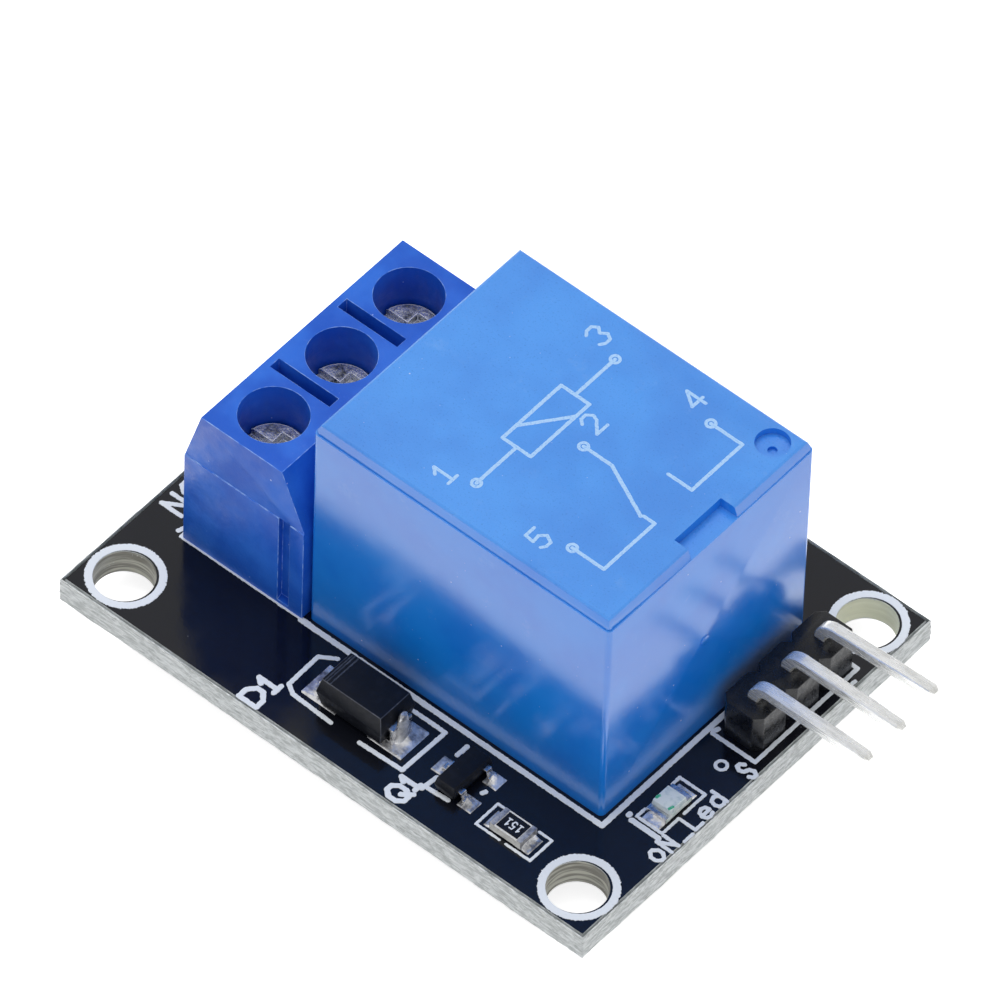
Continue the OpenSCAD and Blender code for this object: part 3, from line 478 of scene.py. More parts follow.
def pale_finish(name, colour, shade, rough=0.5, size=0.3, depth=0.004):
    """Pale ceramic or moulded plastic with a slight mottle."""
    f = Finish(name, tone(*colour), roughness=rough, ior=1.5)
    f.drive("Base Color", f.blend(f.between(f.grain(size, 3), 0.4, 0.7), tone(*colour),
                                  tone(*shade)))
    f.relief(f.grain(size * 0.3, 3), depth)
    return f.done()


def lens_finish():
    """Clear resin of the lamp, a little milky."""
    f = Finish("lamp resin", tone(222, 234, 236), roughness=0.16, ior=1.5,
               transmission_weight=0.2)
    f.drive("Base Color", f.blend(f.between(f.grain(0.3, 3), 0.45, 0.7), tone(236, 246, 248),
                                  tone(206, 224, 230)))
    f.relief(f.grain(0.25, 2), 0.006)
    return f.done()


MASK = board_finish()
FIBRE = fibre_finish()
DRILLED = drilled_finish("drilled laminate", (112, 110, 102), (196, 196, 184), 0.9)
DRILLED_PALE = drilled_finish("smeared laminate", (196, 199, 172), (232, 234, 212), 0.2)
INK = silk_finish()
PALE_INK = pale_ink_finish()
COVER = cover_finish()
HOUSING = housing_finish("blue housing", (26, 88, 196), (42, 108, 214), 0.08)
# Paler blue on the housing's rounded edges: partly wear, partly a painted highlight along the
# edges.
HOUSING_WORN_AND_LIT = housing_finish("blue edge with wear and painted highlight", (52, 112, 218), (150, 186, 242), 0.2, 0.5)
BASE = base_finish()
HEADER_BLACK = black_finish("header plastic", (15, 17, 22), (34, 35, 41), 0.28, 0.006, 0.4)
EPOXY = black_finish("moulded epoxy", (16, 19, 27), (26, 29, 38), 0.42, 0.008, 0.2)
# Paler epoxy: the diode's printed band, and on the diode's rounded edges partly scuffs, partly a
# painted highlight.
EPOXY_BAND_AND_LIT_EDGE = black_finish("epoxy band and scuffed edge with painted highlight", (50, 54, 64), (104, 108, 118), 0.4, 0.008)
GLAZE = black_finish("resistor glaze", (20, 21, 24), (34, 35, 40), 0.25, 0.003, 0.3)
ZINC = metal_finish("zinc plate", (254, 255, 254), (92, 96, 94), 0.2, size=0.6,
                    depth=0.1, metallic=0.75)
# Near-white, barely metallic colour on the screws' rounded edges is a painted highlight.
ZINC_EDGE_HIGHLIGHT = metal_finish("painted highlight on zinc edge", (255, 255, 255), (236, 238, 238), 0.3,
                         metallic=0.1)
CLAMP = metal_finish("clamp plate", (206, 206, 204), (150, 149, 144), 0.3, size=0.6)
BRASS = metal_finish("tinned brass", (206, 204, 198), (160, 157, 148), 0.25)
TIN = metal_finish("tinned pin", (250, 250, 247), (222, 222, 218), 0.26, lay=(5, 1, 1),
                   size=0.3, depth=0.0006, metallic=0.6)
LEAD = metal_finish("tinned lead", (222, 222, 223), (160, 160, 163), 0.22, size=0.35,
                    depth=0.01)
CAP = metal_finish("tinned cap", (190, 190, 192), (120, 120, 124), 0.35, size=0.3,
                   metallic=0.6)
SOLDER = metal_finish("solder", (246, 246, 247), (104, 106, 114), 0.17, size=0.8, depth=0.03,
                      metallic=0.7)
IRON = metal_finish("plated iron", (178, 178, 176), (140, 139, 136), 0.35, size=0.8)
BRONZE = metal_finish("spring bronze", (206, 160, 96), (170, 124, 70), 0.28, size=0.8)
SILVER = metal_finish("contact silver", (226, 225, 220), (180, 178, 172), 0.2, size=0.5)
COPPER = winding_finish()
BOBBIN = pale_finish("bobbin plastic", (232, 226, 206), (214, 206, 184))
CERAMIC = pale_finish("white ceramic", (228, 228, 224), (204, 204, 200), 0.4)
LAMP_BASE = pale_finish("lamp base", (224, 232, 230), (190, 208, 202), 0.45, 0.35)
LAMP_MARK = pale_finish("green lamp mark", (60, 168, 128), (120, 196, 168), 0.45, 0.12)
CHIP = pale_finish("lamp chip", (226, 214, 150), (196, 180, 110), 0.35, 0.1)
LENS = lens_finish()


# ---------------------------------------------------------------------------- printed lines

def ease(path, step):
    """The same path with points at an even spacing, its corners kept."""
    path = np.asarray(path, float)
    pieces = [path[:1]]
    for a, b in zip(path[:-1], path[1:]):
        count = max(1, int(np.ceil(np.linalg.norm(b - a) / step)))
        t = np.linspace(0, 1, count + 1)[1:, None]
        pieces.append(a + (b - a) * t)
    return np.concatenate(pieces)


# Printed ink spreads this far at its foot, which lies this far inside the surface
INK_SPREAD, INK_SINK = 0.01, 0.005


def stagger(seed):
    """A hair of height that keeps crossing prints from lying in one plane."""
    return 0.0011 * (seed % 11)


def dash(a, b, width, seed, z, ink=0.02, ragged=0.018):
    """A straight printed stroke with round ends.

    The outline is a stadium: each point stands half the width out from the line, at a right
    angle along the sides and all round the half circle at an end, plus a small wander. The ink
    rises from a foot a little wider than its flat top.
    """
    a, b = np.array(a, float), np.array(b, float)
    length = np.linalg.norm(b - a)
    ahead = (b - a) / length if length > 1e-9 else np.array([1.0, 0.0])
    left = np.array([-ahead[1], ahead[0]])
    count = max(2, int(np.ceil(length / 0.1)) + 1)
    along = np.linspace(0, length, count)[1:-1]
    turn = np.linspace(-np.pi / 2, np.pi / 2, 9)
    spine = np.concatenate([np.full(9, length), along[::-1], np.zeros(9), along])
    angle = np.concatenate([turn, np.full(len(along), np.pi / 2), turn + np.pi,
                            np.full(len(along), -np.pi / 2)])
    rng = np.random.default_rng(seed)
    wander = rng.normal(0, ragged / 2, len(spine))
    out = ahead * np.cos(angle)[:, None] + left * np.sin(angle)[:, None]
    middle_line = a + ahead * spine[:, None]
    half = (width / 2 + wander)[:, None]
    n = len(spine)
    foot = np.column_stack([middle_line + out * (half + INK_SPREAD), np.full(n, z - INK_SINK)])
    rim = np.column_stack([middle_line + out * half, np.full(n, z + ink + stagger(seed))])
    faces = lattice(2, n, round_columns=True).tolist() + [[n + i for i in range(n)]]
    return np.stack([foot, rim]), faces


def dashes(path, width, seed, z, **more):
    """A printed line with bends: one round-ended stroke to each straight."""
    return [dash(a, b, width, seed + i, z, **more)
            for i, (a, b) in enumerate(zip(path[:-1], path[1:]))]


def ring(cx, cy, radius, width, seed, z, ink=0.02, ragged=0.018, count=96):
    """A printed circle: its edges stand half the width in and out from the radius, and wander."""
    a = np.linspace(0, 2 * np.pi, count, endpoint=False)[:, None]
    rng = np.random.default_rng(seed)
    inner, outer = rng.normal(0, ragged / 2, (2, count, 1))
    near, far = radius - width / 2 + inner * 0.3, radius + width / 2 + outer
    r = np.concatenate([near - INK_SPREAD, near, far, far + INK_SPREAD], 1)
    top = z + ink + stagger(seed)
    height = np.array([z - INK_SINK, top, top, z - INK_SINK]) + 0 * r
    points = np.stack([cx + r * np.cos(a), cy + r * np.sin(a), height], -1)
    return points, lattice(count, 4, round_rows=True)[:, ::-1]


# Each letter is drawn in a box one unit wide and one high, from its lower left corner
GLYPHS = {
    "O": [[(0.35, 0), (0.65, 0), (1, 0.3), (1, 0.7), (0.65, 1), (0.35, 1), (0, 0.7), (0, 0.3),
           (0.35, 0)]],
    "N": [[(0, 0), (0, 1), (1, 0), (1, 1)]],
    "C": [[(1, 0.78), (0.68, 1), (0.32, 1), (0, 0.7), (0, 0.3), (0.32, 0), (0.68, 0),
           (1, 0.22)]],
    "M": [[(0, 0), (0, 1), (0.5, 0.35), (1, 1), (1, 0)]],
    "L": [[(0, 1), (0, 0), (1, 0)]],
    "D": [[(0, 0), (0, 1), (0.55, 1), (1, 0.68), (1, 0.32), (0.55, 0), (0, 0)]],
    "Q": [[(0.3, 0), (0.7, 0), (1, 0.3), (1, 0.7), (0.7, 1), (0.3, 1), (0, 0.7), (0, 0.3),
           (0.3, 0)], [(0.55, 0.36), (1.02, -0.08)]],
    "S": [[(1, 0.8), (0.72, 1), (0.28, 1), (0, 0.78), (0.2, 0.56), (0.8, 0.44), (1, 0.22),
           (0.72, 0), (0.28, 0), (0, 0.2)]],
    "1": [[(0.1, 0.72), (0.5, 1), (0.5, 0)], [(0.08, 0), (0.92, 0)]],
    "2": [[(0, 0.78), (0.28, 1), (0.72, 1), (1, 0.75), (0.85, 0.5), (0, 0), (1, 0)]],
    "3": [[(0, 0.85), (0.3, 1), (0.75, 1), (1, 0.76), (0.7, 0.53), (1, 0.26), (0.75, 0),
           (0.3, 0), (0, 0.15)]],
    "4": [[(0.75, 0), (0.75, 1), (0, 0.3), (1, 0.3)]],
    "5": [[(0.92, 1), (0.12, 1), (0.05, 0.56), (0.62, 0.6), (0.98, 0.34), (0.7, 0), (0.3, 0),
           (0, 0.14)]],
    "e": [[(0.02, 0.36), (0.98, 0.36), (0.9, 0.62), (0.55, 0.72), (0.15, 0.6), (0, 0.34),
           (0.16, 0.08), (0.5, 0), (0.92, 0.1)]],
    "d": [[(1, 1), (1, 0)], [(1, 0.55), (0.6, 0.7), (0.15, 0.6), (0, 0.34), (0.15, 0.06),
                             (0.6, 0), (1, 0.14)]],
}


def letter(sign, corner, width, height, line, seed, z, across=(0, 1), up=(-1, 0), **more):
    """A letter's strokes: its box is laid from a corner along two directions."""
    across, up = np.array(across, float), np.array(up, float)
    corner = np.asarray(corner, float)
    made = []
    for line_points in GLYPHS[sign]:
        made += dashes([corner + across * u * width + up * v * height for u, v in line_points],
                       line, seed + len(made), z, **more)
    return made


# The print is a little out of line with the board
PRINT_SHIFT = 0.05


def on_board(x, y):
    """A place in the print, measured from the board's front left corner."""
    return (BOARD_LOW[0] + x + PRINT_SHIFT, BOARD_LOW[1] + y + PRINT_SHIFT)


def printed_board():
    """All the white print on the board: rings, outlines, marks and plain labels."""
    parts = []

    def line(points, width, seat=on_board):
        parts.extend(dashes([seat(*p) for p in points], width, len(parts), BOARD_TOP))

    def label(sign, x, y, width, height, width_of_line=0.2):
        parts.extend(letter(sign, on_board(x, y), width, height, width_of_line, len(parts),
                            BOARD_TOP))

    def as_given(x, y):
        return (x, y)

    for x, y in HOLES:
        parts.append(ring(x + 0.06, y + 0.04, HOLE_R + 0.25, 0.4, len(parts), BOARD_TOP,
                          ragged=0.04, count=280))
    # Round the relay and along the terminal
    low, high = reach("relay_cover")
    x0, x1 = low[0] - 0.2, high[0] + 0.27
    y0, y1 = low[1] - 0.36, high[1] + 0.3
    line([(x0, y0), (x1, y0), (x1, y1), (x0, y1)], 0.3, as_given)
    low, high = reach("terminal_housing")
    bx0, by0, bx1, by1 = low[0] - 0.12, low[1] - 0.02, high[0] + 0.05, high[1] + 0.1
    line([(bx1, by0), (bx0, by0), (bx0, by1), (bx1, by1)], 0.16, as_given)
    line([(9.05, 5.9), (9.5, 5.95)], 0.28)
    line([(10.4, 5.88), (10.9, 5.9)], 0.26)
    line([(2.25, 6.1), (2.4, 6.5)], 0.26)
    # Diode
    line([(13.42, 5.16), (12.62, 4.63), (12.66, 2.40), (13.20, 2.04), (15.78, 1.92)], 0.24)
    line([(18.30, 5.16), (20.40, 5.16), (20.33, 1.98), (17.65, 1.90)], 0.24)
    label("D", 12.42, 0.2, 0.96, 1.1, 0.28)
    label("1", 12.48, 1.42, 0.66, 1.18, 0.28)
    # Transistor
    line([(21.74, 4.5), (21.76, 5.2)], 0.27)
    line([(21.8, 1.75), (21.9, 2.76)], 0.25)
    line([(21.9, 1.96), (23.23, 2.05)], 0.25)
    line([(24.2, 3.5), (24.26, 3.66)], 0.26)
    label("Q", 21.66, 0.32, 0.86, 1.1, 0.28)
    label("1", 21.62, 1.42, 0.5, 1.06, 0.28)
    # Resistor
    line([(26.71, 1.85), (25.2, 1.85), (25.2, 3.5), (25.78, 3.5)], 0.14)
    line([(27.12, 1.85), (28.66, 1.85), (28.66, 3.5), (27.85, 3.5)], 0.14)
    # Lamp
    line([(30.78, 8.02), (30.78, 7.4), (32.4, 7.4), (32.4, 8.64)], 0.16)
    line([(30.78, 10.08), (30.78, 10.65), (32.4, 10.65), (32.4, 9.08)], 0.16)
    line([(30.74, 7.06), (32.45, 7.06)], 0.3)
    line([(30.43, 7.2), (30.43, 7.3)], 0.3)
    line([(33.53, 7.73), (33.53, 8.38)], 0.16)
    label("O", 33.46, 5.92, 0.58, 0.76, 0.2)
    label("N", 33.48, 6.84, 0.52, 0.96, 0.2)
    label("L", 33.46, 8.66, 0.58, 1.02, 0.18)
    label("e", 33.48, 9.5, 0.6, 0.9, 0.2)
    label("d", 33.48, 10.45, 0.58, 0.96, 0.2)
    # Header
    parts.append(ring(*on_board(31.82, 12.57), 0.29, 0.17, 77, BOARD_TOP, count=32))
    label("S", 33.5, 12.9, 0.46, 1.05, 0.22)
    line([(30.2, 13.81), (32.93, 13.81), (32.93, 21.65), (30.2, 21.65)], 0.22)
    line([(30.15, 13.95), (30.25, 14.2)], 0.26)
    line([(33.35, 20.55), (33.35, 20.95)], 0.2)
    # Poles
    label("N", 1.76, 6.87, 0.8, 1.3, 0.24)
    label("O", 1.76, 8.1, 0.8, 1.3, 0.24)
    label("C", 1.76, 12.3, 0.75, 1.2, 0.24)
    label("O", 1.76, 13.5, 0.75, 1.2, 0.24)
    label("M", 1.76, 14.7, 0.9, 1.2, 0.24)
    label("N", 1.76, 18.6, 0.8, 1.2, 0.24)
    label("C", 1.76, 19.85, 0.8, 1.2, 0.24)
    piece("board_print", *together(parts), INK, "board_laminate", smooth=False)


def printed_parts():
    """The band on the diode, the value on the resistor and the green marks on the lamp."""
    low, high = reach("diode_body")
    inset = 0.28
    band = [dash((low[0] + x, low[1] + inset), (low[0] + x, high[1] - inset), 0.07, i, high[2],
                 ink=0.002, ragged=0.02) for i, x in enumerate((0.36, 0.5, 0.72))]
    piece("diode_band", *together(band), EPOXY_BAND_AND_LIT_EDGE, "black_epoxy", smooth=False)
    low, high = reach("resistor_film")
    mid = (low + high) / 2
    value = []
    for i, sign in enumerate("151"):
        value += letter(sign, mid[:2] + [0.47 - 0.35 * i, 0.22], 0.22, 0.46, 0.065, 40 + 9 * i,
                        high[2], across=(-1, 0), up=(0, -1), ink=0.003, ragged=0.006)
    piece("resistor_value", *together(value), INK, "white_ceramic", smooth=False)
    low, high = reach("led_lens")
    mid, half = (low + high) / 2, (high - low) / 2
    marks = [dash(mid[:2] + half[:2] * start, mid[:2] + half[:2] * end, width, seed, high[2],
                  ink=0.002)
             for start, end, width, seed in (([-0.78, -0.6], [-0.74, -0.3], 0.14, 3),
                                             ([0.7, -0.8], [0.76, -0.5], 0.16, 4))]
    piece("lamp_marks", *together(marks), LAMP_MARK, "lamp_base", smooth=False)


# ---------------------------------------------------------------------------- board edges

def rough(rng, shape, blur):
    """Seeded noise, smoothed along each direction by a number of steps."""
    field = rng.normal(0, 1, shape)
    for axis, steps in enumerate(blur):
        kernel = np.hanning(2 * steps + 3)[1:-1]
        kernel /= np.sqrt((kernel ** 2).sum())
        padded = np.concatenate([field] * 3, axis) if axis == 0 else field
        padded = np.apply_along_axis(lambda v: np.convolve(v, kernel, "same"), axis, padded)
        if axis == 0:
            padded = padded[shape[0]:2 * shape[0]]
        field = padded
    return field


def board_edge():
    """The broken edge round the board: the outline times the height, roughened outwards.

    The first and last rows lie just inside the board, so that its faces close over them.
    """
    inside, thin, usual, thick = 0.01, 0.012, 0.045, 0.085
    corners = np.array([(-1, -1), (1, -1), (1, 1), (-1, 1), (-1, -1)], float)
    path = ease(corners * [BOARD_L / 2, BOARD_W / 2], 0.09)[:-1]
    heights = np.concatenate([[0, 0.008], np.linspace(0.03, 0.97, 20), [0.992, 1]])
    n, rows = len(path), len(heights)
    rng = np.random.default_rng(5)
    bulge = 0.011 * rough(rng, (n, rows), (14, 1)) + 0.006 * rough(rng, (n, rows), (2, 1))
    out = np.clip(usual + bulge, thin, thick)
    out[:, [1, -2]] = thin
    out[:, [0, -1]] = -inside
    at_side = np.abs(path) >= np.array([BOARD_L, BOARD_W]) / 2 - 1e-6
    away = at_side * np.sign(path)
    points = np.zeros((n, rows, 3))
    points[..., :2] = path[:, None] + away[:, None] * out[..., None]
    points[..., 2] = BOARD_LOW[2] - 0.001 + heights * (BOARD_TOP - BOARD_LOW[2] + 0.002)
    piece("board_edge", points, lattice(n, rows, round_rows=True), FIBRE, "board_laminate")


def hole_walls():
    """The drilled walls: a circle times the height, roughened inwards."""
    n, rows = 120, 20
    inside, thin, usual, thick = 0.01, 0.004, 0.03, 0.08
    rng = np.random.default_rng(8)
    for x, y in HOLES:
        right, rear = int(x > 0), int(y > 0)
        a = np.linspace(0, 2 * np.pi, n, endpoint=False)[:, None]
        inward = np.clip(usual + 0.016 * rough(rng, (n, rows), (6, 1)), thin, thick)
        inward[:, [0, -1]] = -inside
        r = HOLE_R - inward
        z = np.linspace(BOARD_LOW[2] + 0.004, BOARD_TOP - 0.004, rows)[None] + 0 * a
        piece("drilled_wall_%d%d" % (right, rear),
              np.stack([x + r * np.cos(a), y + r * np.sin(a), z], -1),
              lattice(n, rows, round_rows=True)[:, ::-1],
              DRILLED_PALE if right and rear else DRILLED, "board_laminate")


# ---------------------------------------------------------------------------- solder

def wet_pad(low, high, out, foot, climb, sway, spread, seed, steps=28):
    """A soldered pad: a flat tinned slab with square corners, and solder that climbs the lead.

    Across the pad is u and outwards is v. The slab rises smoothly over a rim. Past the lead's
    foot the solder falls as the square of what is left of v, and to the sides as a bell.
    """
    rim, tin, sink, short = 0.07, 0.05, 0.004, 0.08
    low, high, out = np.array(low), np.array(high), np.array(out, float)
    mid, half = (low + high)[:2] / 2, (high - low)[:2] / 2
    across = np.array([-out[1], out[0]])
    half_v, half_u = np.abs(out @ half), np.abs(across @ half)
    u, v = np.meshgrid(np.linspace(-1, 1, steps), np.linspace(-1, 1, steps), indexing="ij")
    inset = np.minimum((1 - np.abs(u)) * half_u, (1 - np.abs(v)) * half_v)
    slab = np.clip(inset / rim, 0, 1)
    slab = np.sqrt(1 - (1 - slab) ** 2)
    run = (v + 1) * half_v
    left = np.clip((2 * half_v - run) / (2 * half_v - foot), 0, 1)
    left = np.where(run < foot - short, 0, left)
    rng = np.random.default_rng(seed)
    lumps = 1 + 0.1 * rough(rng, (steps, steps), (4, 4))
    bell = np.exp(-((u - sway) / spread) ** 2)
    tall = high[2] - low[2]
    up = tin * slab + (tall * climb - tin) * left ** 2 * bell * slab * lumps
    flat = mid + across * (u * half_u)[..., None] + out * (v * half_v)[..., None]
    points = np.concatenate([flat, (low[2] - sink + np.clip(up, 0, None))[..., None]], -1)
    return points, lattice(steps, steps)[:, ::-1]


def thumb(x, y, half_x, half_y, height, seed, rings=22, spokes=36):
    """Solder drawn up a lead like a thumb: upright, boxy, and rounded over at the top.

    Up the angle t the height is its sine and the breadth a low power of its cosine, with a
    flare that dies away from the foot.
    """
    waist, flare, fade = 0.82, 0.5, 0.3
    t = np.linspace(0, np.pi / 2 - 1e-3, rings)[:, None]
    a = np.linspace(0, 2 * np.pi, spokes, endpoint=False)[None]
    rng = np.random.default_rng(seed)
    lumps = 1 + 0.04 * rough(rng, (spokes, rings), (4, 3)).T
    up = height * np.sin(t)
    breadth = np.cos(t) ** 0.4 * (waist + flare * np.exp(-up / fade)) * lumps
    points = np.stack([x + half_x * breadth * np.cos(a), y + half_y * breadth * np.sin(a),
                       BOARD_TOP + up + 0 * a], -1)
    faces = lattice(rings, spokes, round_columns=True).tolist()
    faces.append([(rings - 1) * spokes + i for i in range(spokes)])
    return points, faces


def cone(x, y, foot, neck, height, seed, z, rings=16, spokes=36):
    """A soldered lead under the board: a hollow-sided cone turned about the lead.

    The radius falls from the foot to the neck as the power 2.4 of one minus the depth. The
    foot starts a hair inside the board.
    """
    sink = 0.01
    t = np.linspace(0, 1, rings)[:, None]
    a = np.linspace(0, 2 * np.pi, spokes, endpoint=False)[None]
    rng = np.random.default_rng(seed)
    lumps = 1 + 0.05 * rough(rng, (spokes, 1), (4, 0)).T
    r = neck + (foot - neck) * (1 - t) ** 2.4 * lumps
    points = np.stack([x + r * np.cos(a), y + r * np.sin(a),
                       z + sink - (height + sink) * t + 0 * a], -1)
    faces = lattice(rings, spokes, round_columns=True)[:, ::-1].tolist()
    faces.append(list(range(spokes)))
    faces.append([(rings - 1) * spokes + i for i in range(spokes)][::-1])
    return points, faces


def solids_of(node):
    """The boxes of a CAD node's separate solids, in millimetres."""
    work = bmesh.new()
    work.from_mesh(frame["nodes"][node].data)
    bmesh.ops.remove_doubles(work, verts=work.verts, dist=MERGE)
    left, boxes = set(work.verts), []
    while left:
        heap, group = [left.pop()], []
        while heap:
            v = heap.pop()
            group.append(v.co[:])
            for e in v.link_edges:
                o = e.other_vert(v)
                if o in left:
                    left.remove(o)
                    heap.append(o)
        group = np.array(group) / MM
        boxes.append((group.min(0), group.max(0)))
    work.free()
    return sorted(boxes, key=lambda b: tuple(np.round(b[0], 3)))


def bent_pin(node, lift):
    """A square header pin: a profile carried up, round a bend and out to its tip.

    The middle line is straight up, then an arc of the bend plus half the size, then straight
    again at the lift's angle. The profile is a square with cut corners, which shrinks by the
    trim over the last of each end.
    """
    size, bend, cut, trim, corner = 0.64, 0.6, 0.26, 0.55, 0.05
    low, high = reach(node)
    plain_high = reach("header_pin_1")[1]
    bend_z, arm = plain_high[2] - bend - size, bend + size / 2
    start = np.array([low[0] + size / 2, low[2]])
    centre = np.array([start[0] + arm, bend_z])
    turn = np.radians(np.linspace(180, 90 + lift, 18))
    arc = centre + arm * np.stack([np.cos(turn), np.sin(turn)], 1)
    ahead = np.array([np.cos(np.radians(lift)), np.sin(np.radians(lift))])
    run = plain_high[0] - centre[0]
    spine = np.concatenate([[start, start + [0, cut]], arc,
                            [arc[-1] + ahead * (run - cut), arc[-1] + ahead * run]])
    along = np.concatenate([[[0, 1], [0, 1]], np.stack([np.sin(turn), -np.cos(turn)], 1),
                            [ahead, ahead]])
    across = np.stack([-along[:, 1], along[:, 0]], 1)
    half, flat = size / 2, size / 2 - corner
    profile = np.array([(flat, half), (-flat, half), (-half, flat), (-half, -flat),
                        (-flat, -half), (flat, -half), (half, -flat), (half, flat)])
    scale = np.ones((len(spine), 1))
    scale[[0, -1]] = trim
    a, b = profile[:, 0] * scale, profile[:, 1] * scale
    points = np.stack([spine[:, :1] + across[:, :1] * a, (low[1] + high[1]) / 2 + b,
                       spine[:, 1:] + across[:, 1:] * a], -1)
    faces = lattice(len(spine), 8, round_columns=True).tolist()
    last = 8 * (len(spine) - 1)
    faces += [list(range(8))[::-1], [last + k for k in range(8)]]
    made = piece(node + "_dressed", points, faces, TIN, "tinned_brass")
    made.data.set_sharp_from_angle(angle=np.radians(25))
    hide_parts(node)


def underside_solder(name, node, neck):
    """The hollow cones round a row of leads, in the boxes of the node's own solids."""
    parts = []
    for i, (low, high) in enumerate(solids_of(node)):
        mid = (low + high) / 2
        parts.append(cone(mid[0], mid[1], (high[0] - low[0]) / 2, neck, high[2] - low[2], i,
                          high[2]))
    made = piece(name, *together(parts), SOLDER, "solder")
    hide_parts(node)


# The joints in order from the left: outwards, the lead's foot, the climb, its middle and spread
JOINTS = [((-1, 0), 1.38, 0.5, 0.0, 0.6), ((1, 0), 1.38, 0.7, 0.15, 0.4),
          ((-1, 0), 0.45, 0.5, 0.0, 0.5), ((1, 0), 0.35, 1.15, 0.0, 0.6),
          ((1, 0), 0.35, 1.15, 0.1, 0.6), ((-1, 0), 0.4, 1.0, 0.0, 1.2),
          ((1, 0), 0.4, 1.0, 0.0, 1.2), ((0, -1), 0.45, 1.0, 0.0, 0.8),
          ((0, 1), 0.45, 1.0, 0.0, 0.8)]


def surface_solder():
    """The wet joints on the small parts' pads, in the boxes of the node's own solids."""
    boxes = solids_of("solder_surface")
    parts = [wet_pad(low, high, *JOINTS[i], i) for i, (low, high) in enumerate(boxes)]
    end, mid = reach("diode_leads")[1][0], middle("diode_body")
    parts.append(thumb(end, mid[1] + 0.05, half_x=0.3, half_y=0.5, height=1.85, seed=11))
    made = piece("surface_solder", *together(parts), SOLDER, "solder")
    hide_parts("solder_surface")


# ---------------------------------------------------------------------------- relay print

def printed_cover():
    """A plain contact diagram on the relay's top: coil, changeover contact, lead numbers."""
    low, high = reach("relay_cover")
    mid = (low + high) / 2
    top = high[2]
    parts = []

    def line(points, width=0.19):
        parts.extend(dashes([mid[:2] + p for p in points], width, 100 + len(parts), top,
                            ink=0.003, ragged=0.012))

    def number(sign, x, y):
        parts.extend(letter(sign, mid[:2] + [x, y], 0.8, 1.2, 0.17, 130 + len(parts), top,
                            ink=0.003, ragged=0.01))

    # Coil between its two pins
    line([(-1.2, -5.2), (-1.2, -2.2)])
    line([(-2.1, -2.2), (-0.3, -2.2), (-0.3, 2.2), (-2.1, 2.2), (-2.1, -2.2)])
    line([(-2.1, -1.2), (-0.3, 1.2)])
    line([(-1.2, 2.2), (-1.2, 5.2)])
    # Changeover contact
    line([(1.2, 0), (3.0, 0), (6.1, -1.5)])
    line([(4.9, -5.2), (6.9, -5.2), (6.9, -1.4), (6.2, -1.4)])
    line([(4.9, 5.2), (6.9, 5.2), (6.9, 1.4), (5.4, 1.4)])
    for i, (x, y) in enumerate([(-1.2, -5.2), (-1.2, 5.2), (1.2, 0), (4.9, -5.2), (4.9, 5.2)]):
        parts.append(ring(mid[0] + x, mid[1] + y, 0.24, 0.16, 120 + i, top, ink=0.003,
                          ragged=0.01, count=32))
    for sign, x, y in (("1", -2.2, -6.2), ("2", 1.2, 1.0), ("3", -2.2, 5.4), ("4", 3.9, 5.4),
                       ("5", 3.9, -6.2)):
        number(sign, x, y)
    piece("cover_print", *together(parts), PALE_INK, "blue_cover", smooth=False)


# ---------------------------------------------------------------------------- dressing

DRESSED = [
    # node, finish, slot, edge round, paler edge finish: a painted highlight, partly wear on the
    # housing and the diode
    ("relay_cover", COVER, "blue_cover", 0.03, None),
    ("terminal_housing", HOUSING, "blue_housing", 0.07, HOUSING_WORN_AND_LIT),
    ("header_body", HEADER_BLACK, "black_plastic", 0.04, None),
    ("diode_body", EPOXY, "black_epoxy", 0.035, EPOXY_BAND_AND_LIT_EDGE),
    ("transistor_body", EPOXY, "black_epoxy", 0.03, None),
    ("diode_leads", LEAD, "tinned_lead", 0.05, None),
    ("transistor_leads", LEAD, "tinned_lead", 0.03, None),
    ("resistor_caps", CAP, "tinned_lead", 0.012, None),
    ("led_contacts", LEAD, "tinned_lead", 0.012, None),
    ("led_base", LAMP_BASE, "lamp_base", 0.02, None),
    ("led_lens", LENS, "lamp_lens", 0.05, None),
] + [("terminal_screw_%d" % i, ZINC, "zinc_screw", 0.08, ZINC_EDGE_HIGHLIGHT) for i in (1, 2, 3)] \
  + [("wire_clamp_%d" % i, CLAMP, "plated_clamp", 0.04, None) for i in (1, 2, 3)]

KEPT = {
    "circuit_board": MASK, "relay_base": BASE, "coil_bobbin": BOBBIN, "coil_winding": COPPER,
    "magnet_core": IRON, "magnet_yoke": IRON, "armature": IRON, "leaf_spring": BRONZE,
    "moving_contact": SILVER, "closed_contact": BRASS, "open_contact": BRASS,
    "common_terminal": BRASS, "coil_pin_1": TIN, "coil_pin_2": TIN, "resistor_body": CERAMIC,
    "resistor_film": GLAZE, "led_chip": CHIP, "terminal_contact_1": BRASS,
    "terminal_contact_2": BRASS, "terminal_contact_3": BRASS,
}

for node, finish, slot, edge, edge_highlight_finish in DRESSED:
    dress(node, finish, edge, edge_highlight_finish)

for node, finish in KEPT.items():
    mesh = frame["nodes"][node].data
    mesh.materials.clear()
    mesh.materials.append(finish)

printed_board()
printed_cover()
printed_parts()
for pin, lift in (("header_pin_1", 0), ("header_pin_2", 0), ("header_pin_3", 3.5)):
    bent_pin(pin, lift)
board_edge()
hole_walls()
surface_solder()
underside_solder("terminal_solder", "solder_terminal", 0.5)
underside_solder("relay_solder", "solder_relay", 0.5)
underside_solder("header_solder", "solder_header", 0.42)


# ---------------------------------------------------------------------------- room and light

